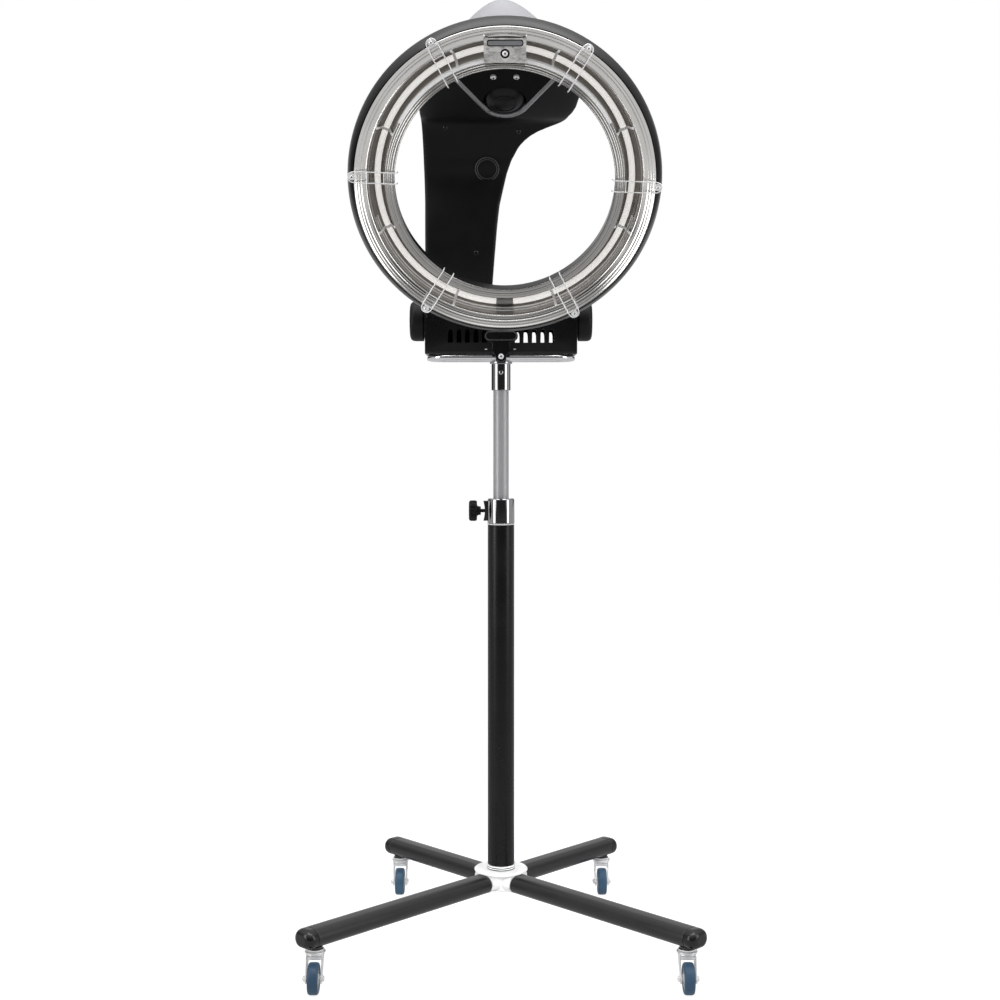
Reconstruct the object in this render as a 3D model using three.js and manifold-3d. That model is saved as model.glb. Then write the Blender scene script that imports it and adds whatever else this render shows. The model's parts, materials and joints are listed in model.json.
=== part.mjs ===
// Hair colour processor on a rolling stand: a lamp ring that orbits round the client's head.
// Millimetres, +Z up. The column stands on the Z axis while the pieces are made, the client
// sits on the -Y side, and the finished model is moved so that its origin is on the floor
// under the middle of its box.
import * as THREE from 'three';
import { mergeVertices } from 'three/addons/utils/BufferGeometryUtils.js';
import Module from 'manifold-3d';

const wasm = await Module();
wasm.setup();

const degrees = THREE.MathUtils.degToRad;

// Clearances
const seatGap = 0.3;
const slideGap = 0.4;
const swingGap = 3;

// Base
const legAngle = degrees(46);
const frontLegReach = 459;
const rearLegReach = 311;
const legWidth = 44;
const legHeight = 30;
const legWall = 2;
const legUnderside = 71;
const legRootRadius = 45;
const legSpigot = 34;
const capLength = 22;
const capRound = 13;
const capSpigot = 16;
const hubPlateRadius = 48;
const hubPlateThickness = 4;
const hubDrumRadius = 34;

// Casters
const wheelRadius = 25;
const wheelWidth = 17;
const wheelHubWidth = 20;
const wheelHubRadius = 9;
const axleRadius = 3;
const axleHeadRadius = 5;
const axleHeadLength = 3;
const casterTrail = 20;
const casterInset = 30;
const forkPlate = 2.5;
const forkDishRadius = 17;
const forkDishHeight = 7;
const forkBossRadius = 8;
const racewayRadius = 14;
const racewayHeight = 7;
const stemRadius = 5;

// Column
const tubeRadius = 24;
const tubeWall = 2;
const tubeTop = 726;
const footHeight = 7;
const footLip = 1.5;
const footSpigot = 45;
const postRadius = 14;
const postWall = 1.5;
const postFoot = 400;
const bushLength = 38;
const bushFlange = 2.4;
const glideLength = 16;
const collarRadius = 24.5;
const collarHeight = 45;
const collarChamfer = 2;
const lugLength = 11;
const lugHalfWidth = 7;
const lugHalfHeight = 18;
const knobRadius = 18.7;
const knobLength = 14.5;
const knobLobes = 8;
const knobLobeDepth = 1.6;
const knobNeckRadius = 8;
const knobNeckLength = 7;
const knobScrewRadius = 3;
const sleeveBottom = 969;
const sleeveHeight = 48;
const sleeveWall = 3.2;
const sleeveFlangeRadius = 20.5;
const sleeveFlangeHeight = 4;
const sleeveNeckRadius = 15;
const sleeveSpigotRadius = 12;
const sleeveSpigotHeight = 13;

// Housing and handle rail
const railRodRadius = 5;
const railHalfLength = 129;
const railHalfDepth = 33;
const housingHalfLength = 136;
const housingHalfDepth = 43;
const housingFootHalfDepth = 40;
const housingFootHeight = 26;
const housingWall = 3;
const tiltAxisRise = 61;
const tiltShaftRadius = 8;
const tiltCapRadius = 36;
const tiltCapLength = 25;
const tiltCapNeck = 3;
const tiltCapNeckRadius = 30;
const tiltShaftInCap = 16;
const ventCount = 5;
const ventFirst = 29.5;
const ventPitch = 15.2;
const ventWidth = 9;
const ventHeight = 24;
const ventRise = 20;
const inletWidth = 40;
const inletHeight = 26;
const inletDepth = 9;
const inletRecess = 5;

// Tilt-lock lever
const leverHalfSpan = 30;
const leverNeckHalf = 16;
const leverTopHeight = 19;
const leverLength = 46;
const leverThickness = 10;
const leverBossRadius = 9.5;
const leverScrewRadius = 2.5;
const leverScrewHeadRadius = 5;
const leverScrewHeadLength = 3;
const lugDepth = 7.6;

// Ring
const ringSide = 6;
const ringReach = 325;
const ringRise = 197;
const ringTilt = degrees(19.5);
const orbitAngle = degrees(45);
const rimRadius = 241;
const holeRadius = 176;
const shellRadius = 254;
const shellDepth = 64;
const shellWall = 2.5;
const shellInnerFront = 5.4;
const shellInnerSlope = 3;
const shellInnerDepth = 47;
const reflectorSheet = 1.5;
const lampCircle = 206;
const lampRadius = 5.2;
const lampDepth = 44;
const troughDepth = 58;
const troughHalfWidth = 15;
const terminalHalfLength = 33;
const terminalPlateThickness = 3;
const lampGapAngle = degrees(4);
const lampPlug = 8;
const guardCount = 6;
const guardPhase = degrees(-2);
const guardSpacing = 17.5;
const guardWireRadius = 1.3;

// Orbit hub, yoke and arm
const hubRadius = 35;
const hubDrop = 56;
const hubShaftRadius = 8;
const hubShaftLength = 16;
const yokeThickness = 12;
const yokeDrop = 45;
const yokeHalfWidth = 100;
const yokeShoulder = 78;
const motorRadius = 26;
const motorLength = 50;
const headHalf = 142;
const headRadius = 92;
const headDepth = 130;
const headMiddle = 2;
const neckRise = 26;
const stemRise = 58;
const stemDepth = 74;
const coverSplit = 22;
const coverWall = 3;
const drumRadius = 30;
const spineThickness = 3;
const spineDrumRadius = 18;
const strapMargin = 22;
const panelWidth = 78;
const panelHeight = 120;
const panelThickness = 4;
const panelStart = 40;

const paint = (color, roughness, metalness) =>
  new THREE.MeshStandardMaterial({ color, roughness, metalness });
const blackPaint = paint(0x18181a, 0.4, 0.1);
const blackPlastic = paint(0x141416, 0.5, 0);
const chrome = paint(0xd8dadc, 0.1, 1);
const zinc = paint(0xc4c8cc, 0.3, 1);
const treadRubber = paint(0x37556e, 0.7, 0);
const whitePlastic = paint(0xe6e6e4, 0.5, 0);
const silverPlastic = paint(0xc6c6d0, 0.35, 0.2);
const brightReflector = paint(0xdcdad6, 0.15, 1);
const lampGlass = paint(0xe8e6e0, 0.1, 0);
const steel = paint(0x8c9094, 0.4, 1);

const model = new THREE.Group();

// One closed body: shared corners merged, flat triangles dropped, faces turned outwards.
function closed(geometry) {
  const bare = geometry.clone();
  bare.deleteAttribute('normal');
  bare.deleteAttribute('uv');
  const merged = mergeVertices(bare, 1e-4);
  const points = merged.attributes.position;
  const corner = (k) => new THREE.Vector3().fromBufferAttribute(points, k);
  const kept = [];
  let volume = 0;
  for (let k = 0; k < merged.index.count; k += 3) {
    const [a, b, c] = [0, 1, 2].map((step) => merged.index.getX(k + step));
    if (a === b || b === c || c === a) continue;
    kept.push([a, b, c]);
    volume += corner(a).dot(corner(b).cross(corner(c)));
  }
  if (volume < 0) kept.forEach((face) => face.reverse());
  merged.setIndex(kept.flat());
  return merged;
}

function solid(geometry) {
  const body = closed(geometry);
  return new wasm.Manifold(new wasm.Mesh({
    numProp: 3,
    vertProperties: new Float32Array(body.attributes.position.array),
    triVerts: new Uint32Array(body.index.array),
  }));
}

function geometryOf(manifold) {
  const { vertProperties, triVerts } = manifold.getMesh();
  const geometry = new THREE.BufferGeometry();
  geometry.setAttribute('position', new THREE.BufferAttribute(new Float32Array(vertProperties), 3));
  geometry.setIndex(new THREE.BufferAttribute(new Uint32Array(triVerts), 1));
  return geometry;
}

const join = (first, ...others) =>
  geometryOf(others.reduce((sum, next) => sum.add(solid(next)), solid(first)));
const cut = (first, ...others) =>
  geometryOf(others.reduce((rest, next) => rest.subtract(solid(next)), solid(first)));
const common = (first, second) => geometryOf(solid(first).intersect(solid(second)));

function place(parent, name, geometry, material) {
  const mesh = new THREE.Mesh(closed(geometry), material);
  mesh.name = name;
  parent.add(mesh);
  return mesh;
}

// Solids from flat outlines: points are (x, y), (x, z) or (y, z) pairs
const shapeOf = (points) => new THREE.Shape(points.map(([a, b]) => new THREE.Vector2(a, b)));
const alongZ = (shape, low, high) =>
  new THREE.ExtrudeGeometry(shape, { depth: high - low, bevelEnabled: false }).translate(0, 0, low);
const alongY = (shape, low, high) =>
  new THREE.ExtrudeGeometry(shape, { depth: high - low, bevelEnabled: false })
    .rotateX(Math.PI / 2).translate(0, high, 0);
const turnToX = new THREE.Matrix4().makeBasis(
  new THREE.Vector3(0, 1, 0), new THREE.Vector3(0, 0, 1), new THREE.Vector3(1, 0, 0));
const alongX = (shape, low, high) =>
  new THREE.ExtrudeGeometry(shape, { depth: high - low, bevelEnabled: false })
    .applyMatrix4(turnToX).translate(low, 0, 0);
const block = ([x0, y0, z0], [x1, y1, z1]) =>
  new THREE.BoxGeometry(x1 - x0, y1 - y0, z1 - z0)
    .translate((x0 + x1) / 2, (y0 + y1) / 2, (z0 + z1) / 2);

// Turned solids: profile pairs are (radius, place along the axis)
function turnedZ(profile, segments = 24, start = 0) {
  const points = profile.map(([radius, height]) => new THREE.Vector2(radius, height));
  return new THREE.LatheGeometry(points, segments, start).rotateX(Math.PI / 2);
}
const turnedX = (profile, segments = 20, start = 0) =>
  turnedZ(profile, segments, start).applyMatrix4(turnToX);
const ringProfile = (inner, outer, low, high) =>
  [[inner, low], [outer, low], [outer, high], [inner, high], [inner, low]];
const rodProfile = (radius, low, high) => [[0, low], [radius, low], [radius, high], [0, high]];

// Flat-oval outline, wide along its first axis
function ovalShape(width, height) {
  const half = (width - height) / 2;
  const radius = height / 2;
  const shape = new THREE.Shape();
  shape.absarc(half, 0, radius, -Math.PI / 2, Math.PI / 2);
  shape.absarc(-half, 0, radius, Math.PI / 2, Math.PI * 1.5);
  return shape;
}
const coarse = (shape, divisions) => shapeOf(shape.getPoints(divisions).map(({ x, y }) => [x, y]));
const disc = (radius, sides) => shapeOf(Array.from({ length: sides }, (_, k) => {
  const turn = (2 * Math.PI * k) / sides;
  return [radius * Math.cos(turn), radius * Math.sin(turn)];
}));

// Closed outline moved inwards by a wall, each corner along the mean of its edges' normals
function inset(points, wall) {
  const area = THREE.ShapeUtils.area(points.map(([a, b]) => new THREE.Vector2(a, b)));
  const side = Math.sign(area);
  return points.map((point, k) => {
    const here = new THREE.Vector2(...point);
    const before = new THREE.Vector2(...points.at(k - 1));
    const after = new THREE.Vector2(...points[(k + 1) % points.length]);
    const first = here.clone().sub(before).normalize();
    const second = after.sub(here).normalize();
    const normal = new THREE.Vector2(-first.y - second.y, first.x + second.x).normalize();
    const stretch = wall / Math.max(0.5, normal.dot(new THREE.Vector2(-first.y, first.x)));
    return here.addScaledVector(normal, side * stretch).toArray();
  });
}

// Base: hub, legs and caps
const legMiddle = legUnderside + legHeight / 2;
const legTop = legUnderside + legHeight;
const hubTop = legTop + seatGap + hubPlateThickness;

const legAzimuths = {
  front_left: Math.PI + legAngle,
  front_right: -legAngle,
  rear_left: Math.PI - legAngle,
  rear_right: legAngle,
};
const plugInset = 2 * (legWall + seatGap);
const legPlug = coarse(ovalShape(legWidth - plugInset, legHeight - plugInset), 3);

// Hub: a drum under a round plate, with a spigot that plugs into each leg
const hubDrum = turnedZ([
  [0, legUnderside], [hubDrumRadius, legUnderside], [hubDrumRadius, legTop + seatGap],
  [hubPlateRadius, legTop + seatGap], [hubPlateRadius, hubTop - 1], [hubPlateRadius - 1, hubTop], [0, hubTop],
]);
const hubSpigots = Object.values(legAzimuths).map((azimuth) =>
  alongX(legPlug, hubDrumRadius - 5, legRootRadius + legSpigot).rotateZ(azimuth).translate(0, 0, legMiddle));
place(model, 'base_hub', join(hubDrum, ...hubSpigots), chrome);

function makeLeg(side, reach) {
  const azimuth = legAzimuths[side];
  const leg = new THREE.Group();
  leg.rotation.z = azimuth;
  leg.position.z = legMiddle;
  model.add(leg);

  const outer = coarse(ovalShape(legWidth, legHeight), 3);
  const inner = coarse(ovalShape(legWidth - 2 * legWall, legHeight - 2 * legWall), 3);
  const seam = reach - capLength;
  const tube = outer.clone();
  tube.holes.push(inner);
  place(leg, `leg_${side}`, alongX(tube, legRootRadius, seam), blackPaint);

  const core = coarse(ovalShape(legWidth - 2 * capRound, legHeight - 2 * capRound), 3);
  const nose = new THREE.ExtrudeGeometry(core, {
    depth: capLength,
    bevelThickness: capRound,
    bevelSize: capRound,
    bevelSegments: 3,
  }).applyMatrix4(turnToX).translate(reach - capLength - capRound, 0, 0);
  const front = block([seam + seatGap, -legWidth, -legHeight], [reach + 1, legWidth, legHeight]);
  place(leg, `leg_cap_${side}`,
    join(common(nose, front), alongX(legPlug, seam - capSpigot, seam + 1)), blackPlastic);
  return new THREE.Vector2(reach - casterInset, 0).rotateAround(new THREE.Vector2(), azimuth);
}

// Swivel caster: raceway and stem on the leg, fork, axle and wheel behind the swivel axis
const wheelSegments = 18;
const forkHalfGap = wheelHubWidth / 2 + 1;
const forkHalfWidth = forkHalfGap + forkPlate;
const racewayBottom = legUnderside - seatGap - racewayHeight;
const dishTop = racewayBottom - seatGap;
const dishBottom = dishTop - forkDishHeight;

function makeCaster(side, spot) {
  const caster = new THREE.Group();
  caster.position.set(spot.x, spot.y, 0);
  model.add(caster);

  const bore = stemRadius + slideGap;
  const headTop = dishBottom - slideGap;
  const headBottom = headTop - 2.5;
  place(caster, `caster_stem_${side}`, turnedZ([
    [0, headBottom], [bore + 2, headBottom], [bore + 2, headTop], [stemRadius, headTop],
    [stemRadius, racewayBottom], [racewayRadius, racewayBottom],
    [racewayRadius, legUnderside - seatGap], [0, legUnderside - seatGap],
  ], 14), blackPlastic);

  const dish = turnedZ([
    [bore, dishBottom], [forkHalfWidth, dishBottom], [forkDishRadius, dishBottom + 3],
    [forkDishRadius, dishTop], [bore, dishTop], [bore, dishBottom],
  ], 14);
  const cheek = new THREE.Shape();
  cheek.moveTo(forkDishRadius - 5, dishBottom + 2);
  cheek.lineTo(forkDishRadius - 7, dishBottom - 6);
  cheek.lineTo(forkBossRadius - casterTrail, wheelRadius);
  cheek.absarc(-casterTrail, wheelRadius, forkBossRadius, 0, -Math.PI, true);
  cheek.lineTo(-forkDishRadius + 5, dishBottom + 2);
  const cheekShape = coarse(cheek, 3);
  const cheeks = [
    alongX(cheekShape, -forkHalfWidth, -forkHalfGap),
    alongX(cheekShape, forkHalfGap, forkHalfWidth),
  ];
  const axleBore = axleRadius + slideGap;
  const axleHole = turnedX(rodProfile(axleBore, -forkHalfWidth - 1, forkHalfWidth + 1), 10)
    .translate(0, -casterTrail, wheelRadius);
  place(caster, `caster_fork_${side}`, cut(join(dish, ...cheeks), axleHole), zinc);

  const headStart = forkHalfWidth + seatGap;
  const headEnd = headStart + axleHeadLength;
  const axle = turnedX([
    [0, -headEnd], [axleHeadRadius, -headEnd], [axleHeadRadius, -headStart],
    [axleRadius, -headStart], [axleRadius, headStart], [axleHeadRadius, headStart],
    [axleHeadRadius, headEnd], [0, headEnd],
  ], 10);
  place(caster, `caster_axle_${side}`, axle.translate(0, -casterTrail, wheelRadius), zinc);

  const half = wheelWidth / 2;
  const hubHalf = wheelHubWidth / 2;
  const land = wheelRadius / Math.cos(Math.PI / wheelSegments);
  const shoulder = land - 3;
  const wheel = turnedX([
    [axleBore, -hubHalf], [wheelHubRadius, -hubHalf], [wheelHubRadius, -half],
    [shoulder, -half], [land, -half + 3.5], [land, half - 3.5], [shoulder, half],
    [wheelHubRadius, half], [wheelHubRadius, hubHalf], [axleBore, hubHalf],
    [axleBore, -hubHalf],
  ], wheelSegments, Math.PI / wheelSegments);
  place(caster, `caster_wheel_${side}`, wheel.translate(0, -casterTrail, wheelRadius), treadRubber);
}

for (const side of Object.keys(legAzimuths)) {
  makeCaster(side, makeLeg(side, side.startsWith('front') ? frontLegReach : rearLegReach));
}

// Column: foot, outer tube, guide bush, clamp collar and its knob
const footBottom = hubTop + seatGap;
const tubeBottom = footBottom + footHeight + seatGap;
const tubeBore = tubeRadius - tubeWall;
const bushBore = postRadius + slideGap;

place(model, 'column_foot', turnedZ([
  [0, footBottom], [tubeRadius + footLip, footBottom],
  [tubeRadius + footLip, footBottom + footHeight * 0.45],
  [tubeRadius, footBottom + footHeight * 0.5],
  [tubeRadius + footLip, footBottom + footHeight * 0.55],
  [tubeRadius + footLip, footBottom + footHeight],
  [tubeBore - seatGap, footBottom + footHeight],
  [tubeBore - seatGap, tubeBottom + footSpigot], [0, tubeBottom + footSpigot],
]), chrome);
place(model, 'column_tube', turnedZ(ringProfile(tubeBore, tubeRadius, tubeBottom, tubeTop), 28),
  blackPaint);

const flangeBottom = tubeTop + seatGap;
const flangeTop = flangeBottom + bushFlange;
place(model, 'column_bush', turnedZ([
  [bushBore, tubeTop - bushLength], [tubeBore - seatGap, tubeTop - bushLength],
  [tubeBore - seatGap, flangeBottom], [tubeRadius + 0.3, flangeBottom],
  [tubeRadius + 0.3, flangeTop], [bushBore, flangeTop], [bushBore, tubeTop - bushLength],
]), whitePlastic);

const collarBottom = flangeTop + seatGap;
const collarTop = collarBottom + collarHeight;
const clampHeight = (collarBottom + collarTop) / 2;
const lugEnd = collarRadius + lugLength;
const screwBore = knobScrewRadius + slideGap;
const collarRing = turnedZ([
  [bushBore, collarBottom], [collarRadius, collarBottom], [collarRadius, collarTop - collarChamfer],
  [collarRadius - collarChamfer, collarTop], [bushBore, collarTop], [bushBore, collarBottom],
]);
const lug = block([-lugEnd, -lugHalfWidth, clampHeight - lugHalfHeight],
  [-postRadius - 4, lugHalfWidth, clampHeight + lugHalfHeight]);
const screwHole = turnedX(rodProfile(screwBore, -lugEnd - 1, -postRadius + 1), 16)
  .translate(0, 0, clampHeight);
place(model, 'clamp_collar', cut(join(collarRing, lug), screwHole), chrome);

const knobOutline = [];
const knobSteps = knobLobes * 4;
for (let k = 0; k < knobSteps; k += 1) {
  const turn = (2 * Math.PI * k) / knobSteps;
  const radius = knobRadius - knobLobeDepth * (0.5 - 0.5 * Math.cos(knobLobes * turn));
  knobOutline.push([radius * Math.cos(turn), radius * Math.sin(turn)]);
}
const neckStart = lugEnd + 1;
const knobStart = neckStart + knobNeckLength;
const knobGrip = alongX(shapeOf(knobOutline), -knobStart - knobLength, -knobStart);
const knobNeck = turnedX(rodProfile(knobNeckRadius, -knobStart - 1, -neckStart), 20);
const knobScrew = turnedX(rodProfile(knobScrewRadius, -knobStart, -postRadius - slideGap), 12);
place(model, 'clamp_knob', join(knobGrip, knobNeck, knobScrew).translate(0, 0, clampHeight),
  blackPlastic);

// Post: glide plug, inner tube and the sleeve that carries the head
const postBore = postRadius - postWall;
const sleeveRadius = postRadius + seatGap + sleeveWall;
const sleeveTop = sleeveBottom + sleeveHeight;
const railMiddle = sleeveTop + sleeveFlangeHeight + 2 + railRodRadius;
const housingBottom = railMiddle + railRodRadius + seatGap;

place(model, 'post_glide', turnedZ([
  [0, postFoot - glideLength], [tubeBore - slideGap, postFoot - glideLength],
  [tubeBore - slideGap, postFoot - seatGap], [postBore - seatGap, postFoot - seatGap],
  [postBore - seatGap, postFoot + glideLength], [0, postFoot + glideLength],
]), whitePlastic);
place(model, 'post_tube', turnedZ(ringProfile(postBore, postRadius, postFoot, sleeveTop - 3)), chrome);
place(model, 'post_sleeve', turnedZ([
  [postRadius + seatGap, sleeveBottom], [sleeveRadius, sleeveBottom], [sleeveRadius, sleeveTop],
  [sleeveFlangeRadius, sleeveTop], [sleeveFlangeRadius, sleeveTop + sleeveFlangeHeight],
  [sleeveNeckRadius, sleeveTop + sleeveFlangeHeight], [sleeveNeckRadius, housingBottom - seatGap],
  [sleeveSpigotRadius, housingBottom - seatGap],
  [sleeveSpigotRadius, housingBottom + sleeveSpigotHeight],
  [0, housingBottom + sleeveSpigotHeight], [0, sleeveTop - 2],
  [postRadius + seatGap, sleeveTop - 2], [postRadius + seatGap, sleeveBottom],
]), chrome);

// Handle rail: a closed loop of rod under the housing, joined from two bent halves
class RailHalf extends THREE.Curve {
  constructor(side) {
    super();
    this.side = side;
  }

  getPoint(share) {
    const straight = railHalfLength - railHalfDepth;
    const bend = Math.PI * railHalfDepth;
    const lap = 0.5;
    const run = share * (2 * straight + bend + 2 * lap) - lap;
    const turn = Math.min(Math.max((run - straight) / railHalfDepth, 0), Math.PI);
    const back = Math.max(run - straight - bend, 0);
    const along = Math.min(run, straight) + railHalfDepth * Math.sin(turn) - back;
    return new THREE.Vector3(this.side * along, railHalfDepth * Math.cos(turn), 0);
  }
}
const railSection = disc(railRodRadius, 8);
const railHalf = (side) => new THREE.ExtrudeGeometry(railSection, {
  steps: 20, extrudePath: new RailHalf(side), bevelEnabled: false,
});
place(model, 'handle_rail', join(railHalf(-1), railHalf(1)).translate(0, 0, railMiddle), chrome);

// Housing: two vented halves round the tilt shaft, open above the arm's drum
const tiltAxis = housingBottom + tiltAxisRise;
const shaftBore = tiltShaftRadius + seatGap;
const armSideStart = -housingHalfLength + housingWall;
const armSideEnd = -12;

function housingSection(halfDepth, footHalfDepth, bottom) {
  const section = new THREE.Shape();
  section.moveTo(-footHalfDepth, bottom);
  section.lineTo(footHalfDepth, bottom);
  section.lineTo(halfDepth, housingBottom + housingFootHeight);
  section.absarc(0, tiltAxis, halfDepth, 0, Math.PI);
  section.lineTo(-halfDepth, housingBottom + housingFootHeight);
  return coarse(section, 6);
}
function makeHousing() {
  const outer = alongX(housingSection(housingHalfDepth, housingFootHalfDepth, housingBottom),
    -housingHalfLength, housingHalfLength);
  const inner = alongX(housingSection(housingHalfDepth - housingWall,
    housingFootHalfDepth - housingWall, housingBottom + housingWall),
  -housingHalfLength + housingWall, housingHalfLength - housingWall);
  const throat = block([armSideStart, -housingHalfDepth - 1, tiltAxis + 2],
    [armSideEnd, housingHalfDepth + 1, tiltAxis + housingHalfDepth + 1]);
  const bore = turnedX(rodProfile(shaftBore, -housingHalfLength - 1, housingHalfLength + 1))
    .translate(0, 0, tiltAxis);
  const seat = turnedZ(rodProfile(sleeveSpigotRadius + seatGap, housingBottom - 1,
    housingBottom + housingWall + 1));
  const vents = [];
  for (const side of [-1, 1]) {
    for (let k = 0; k < ventCount; k += 1) {
      const middle = side * (ventFirst + k * ventPitch);
      const low = housingBottom + ventRise;
      const slot = new THREE.Shape();
      slot.moveTo(middle - ventWidth / 2, low);
      slot.lineTo(middle + ventWidth / 2, low);
      slot.absarc(middle, low + ventHeight - ventWidth / 2, ventWidth / 2, 0, Math.PI);
      vents.push(alongY(coarse(slot, 2), -housingHalfDepth - 1, housingHalfDepth + 1));
    }
  }
  return cut(outer, inner, throat, bore, seat, ...vents);
}
const housing = makeHousing();
const farSide = 2 * housingHalfDepth;
const halfBox = (low, high) => block(
  [-housingHalfLength - 1, low, housingBottom - 1],
  [housingHalfLength + 1, high, tiltAxis + housingHalfDepth + 1]);

const leverPivot = railMiddle;
const housingLug = block([-leverBossRadius, -housingHalfDepth - 3, leverPivot - leverBossRadius],
  [leverBossRadius, -housingHalfDepth - 3 + lugDepth, housingBottom + leverBossRadius]);
const leverBore = leverScrewRadius + slideGap;
const lugHole = turnedZ(rodProfile(leverBore, 0, lugDepth + 2), 12).rotateX(-Math.PI / 2)
  .translate(0, -housingHalfDepth - 4, leverPivot);
place(model, 'housing_front',
  cut(join(common(housing, halfBox(-farSide, -seatGap / 2)), housingLug), lugHole), blackPlastic);
place(model, 'housing_rear', common(housing, halfBox(seatGap / 2, farSide)), blackPlastic);

const inletMiddle = ventFirst + 4 * ventPitch;
const inletFace = housingHalfDepth + seatGap;
const inletBody = block([inletMiddle - inletWidth / 2, inletFace, tiltAxis - inletHeight / 2],
  [inletMiddle + inletWidth / 2, inletFace + inletDepth, tiltAxis + inletHeight / 2]);
const inletHollow = block(
  [inletMiddle - inletWidth / 2 + 7, inletFace + inletDepth - inletRecess, tiltAxis - inletHeight / 2 + 4],
  [inletMiddle + inletWidth / 2 - 7, inletFace + inletDepth + 1, tiltAxis + inletHeight / 2 - 4]);
place(model, 'power_inlet', cut(inletBody, inletHollow), blackPlastic);

// Tilt shaft and its end caps
const capStart = housingHalfLength + seatGap;
const capFace = capStart + tiltCapNeck + tiltCapLength;
const shaftEnd = capStart + tiltShaftInCap;
place(model, 'tilt_shaft', turnedX(rodProfile(tiltShaftRadius, -shaftEnd, shaftEnd), 20)
  .translate(0, 0, tiltAxis), steel);
const tiltCapProfile = [
  [shaftBore, capStart], [tiltCapNeckRadius, capStart], [tiltCapNeckRadius, capStart + tiltCapNeck],
  [tiltCapRadius, capStart + tiltCapNeck], [tiltCapRadius, capFace - 9],
  [tiltCapRadius - 2.6, capFace - 3], [tiltCapRadius - 9, capFace], [0, capFace],
  [0, shaftEnd + seatGap], [shaftBore, shaftEnd + seatGap], [shaftBore, capStart],
];
const tiltCap = turnedX(tiltCapProfile, 24);
place(model, 'tilt_cap_right', tiltCap.clone().translate(0, 0, tiltAxis), blackPlastic);
place(model, 'tilt_cap_left', tiltCap.rotateZ(Math.PI).translate(0, 0, tiltAxis), blackPlastic);

// Tilt-lock lever on its screw
const leverBack = -housingHalfDepth - 3 - seatGap;
const leverFront = leverBack - leverThickness;
const leverShape = new THREE.Shape();
const barLow = leverPivot + leverLength - leverTopHeight;
const barRound = leverTopHeight / 2;
leverShape.absarc(0, leverPivot, leverBossRadius, Math.PI, 2 * Math.PI);
leverShape.lineTo(leverNeckHalf, leverPivot + leverBossRadius);
leverShape.lineTo(leverNeckHalf, barLow - 4);
leverShape.absarc(leverHalfSpan - barRound, barLow + barRound, barRound, -Math.PI / 3, Math.PI / 2);
leverShape.absarc(barRound - leverHalfSpan, barLow + barRound, barRound, Math.PI / 2, Math.PI * 4 / 3);
leverShape.lineTo(-leverNeckHalf, barLow - 4);
leverShape.lineTo(-leverNeckHalf, leverPivot + leverBossRadius);
const leverHole = turnedZ(rodProfile(leverBore, 0, leverThickness + 2), 12).rotateX(-Math.PI / 2)
  .translate(0, leverFront - 1, leverPivot);
place(model, 'tilt_lever', cut(alongY(coarse(leverShape, 5), leverFront, leverBack), leverHole),
  blackPlastic);
const screwFace = leverFront - seatGap;
const leverShank = leverThickness + lugDepth;
place(model, 'lever_screw', turnedZ([
  [0, 0], [leverScrewHeadRadius - 1, 0], [leverScrewHeadRadius, 1],
  [leverScrewHeadRadius, leverScrewHeadLength], [leverScrewRadius, leverScrewHeadLength],
  [leverScrewRadius, leverScrewHeadLength + leverShank], [0, leverScrewHeadLength + leverShank],
], 16).rotateX(-Math.PI / 2).translate(0, screwFace - leverScrewHeadLength, leverPivot), zinc);

// Ring frame: +Z of the group faces the client, +Y is the top of the ring
const ringMiddle = new THREE.Vector3(ringSide, -ringReach, tiltAxis + ringRise);
const ring = new THREE.Group();
ring.position.copy(ringMiddle);
ring.rotation.x = Math.PI / 2 + ringTilt;
model.add(ring);
// Profile pairs below are (radius, depth behind the rim); the group's +Z faces forward
const turnedRing = (profile, segments) =>
  turnedZ(profile.map(([radius, depth]) => [radius, -depth]), segments);
const ringSegments = 36;

const troughInner = lampCircle - troughHalfWidth;
const troughOuter = lampCircle + troughHalfWidth;
const flangeDrop = 11;
const reflectorFace = [
  [rimRadius, 0], [troughOuter + 1, flangeDrop], [troughOuter - 4, troughDepth - 8],
  [lampCircle + 4, troughDepth], [lampCircle - 4, troughDepth],
  [troughInner + 4, troughDepth - 8], [troughInner - 1, flangeDrop], [holeRadius, 2],
];
const behind = ([radius, depth]) => [radius, depth + reflectorSheet];
place(ring, 'ring_reflector', turnedRing(
  [...reflectorFace, ...reflectorFace.toReversed().map(behind), reflectorFace[0]], ringSegments),
brightReflector);

const shellHeel = troughInner + 9;
const shellOutside = [
  [rimRadius + 1.5, 1.5], [shellRadius - 5.5, 12], [shellRadius, 34], [rimRadius - 1, 57],
  [troughOuter - 3, shellDepth], [shellHeel, shellDepth],
  [holeRadius + shellInnerSlope, shellInnerDepth],
  [holeRadius, shellInnerFront],
];
const shellInside = [
  [holeRadius + shellWall, shellInnerFront],
  [holeRadius + shellInnerSlope + shellWall, shellInnerDepth - 2],
  [troughInner + 10, shellDepth - shellWall], [troughOuter - 4, shellDepth - shellWall],
  [rimRadius - 4, 55], [shellRadius - shellWall, 34], [shellRadius - 8, 13.2],
  [rimRadius + 1.5, 4.5],
];
place(ring, 'ring_shell', turnedRing([...shellOutside, ...shellInside, shellOutside[0]], ringSegments),
  blackPlastic);

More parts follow.
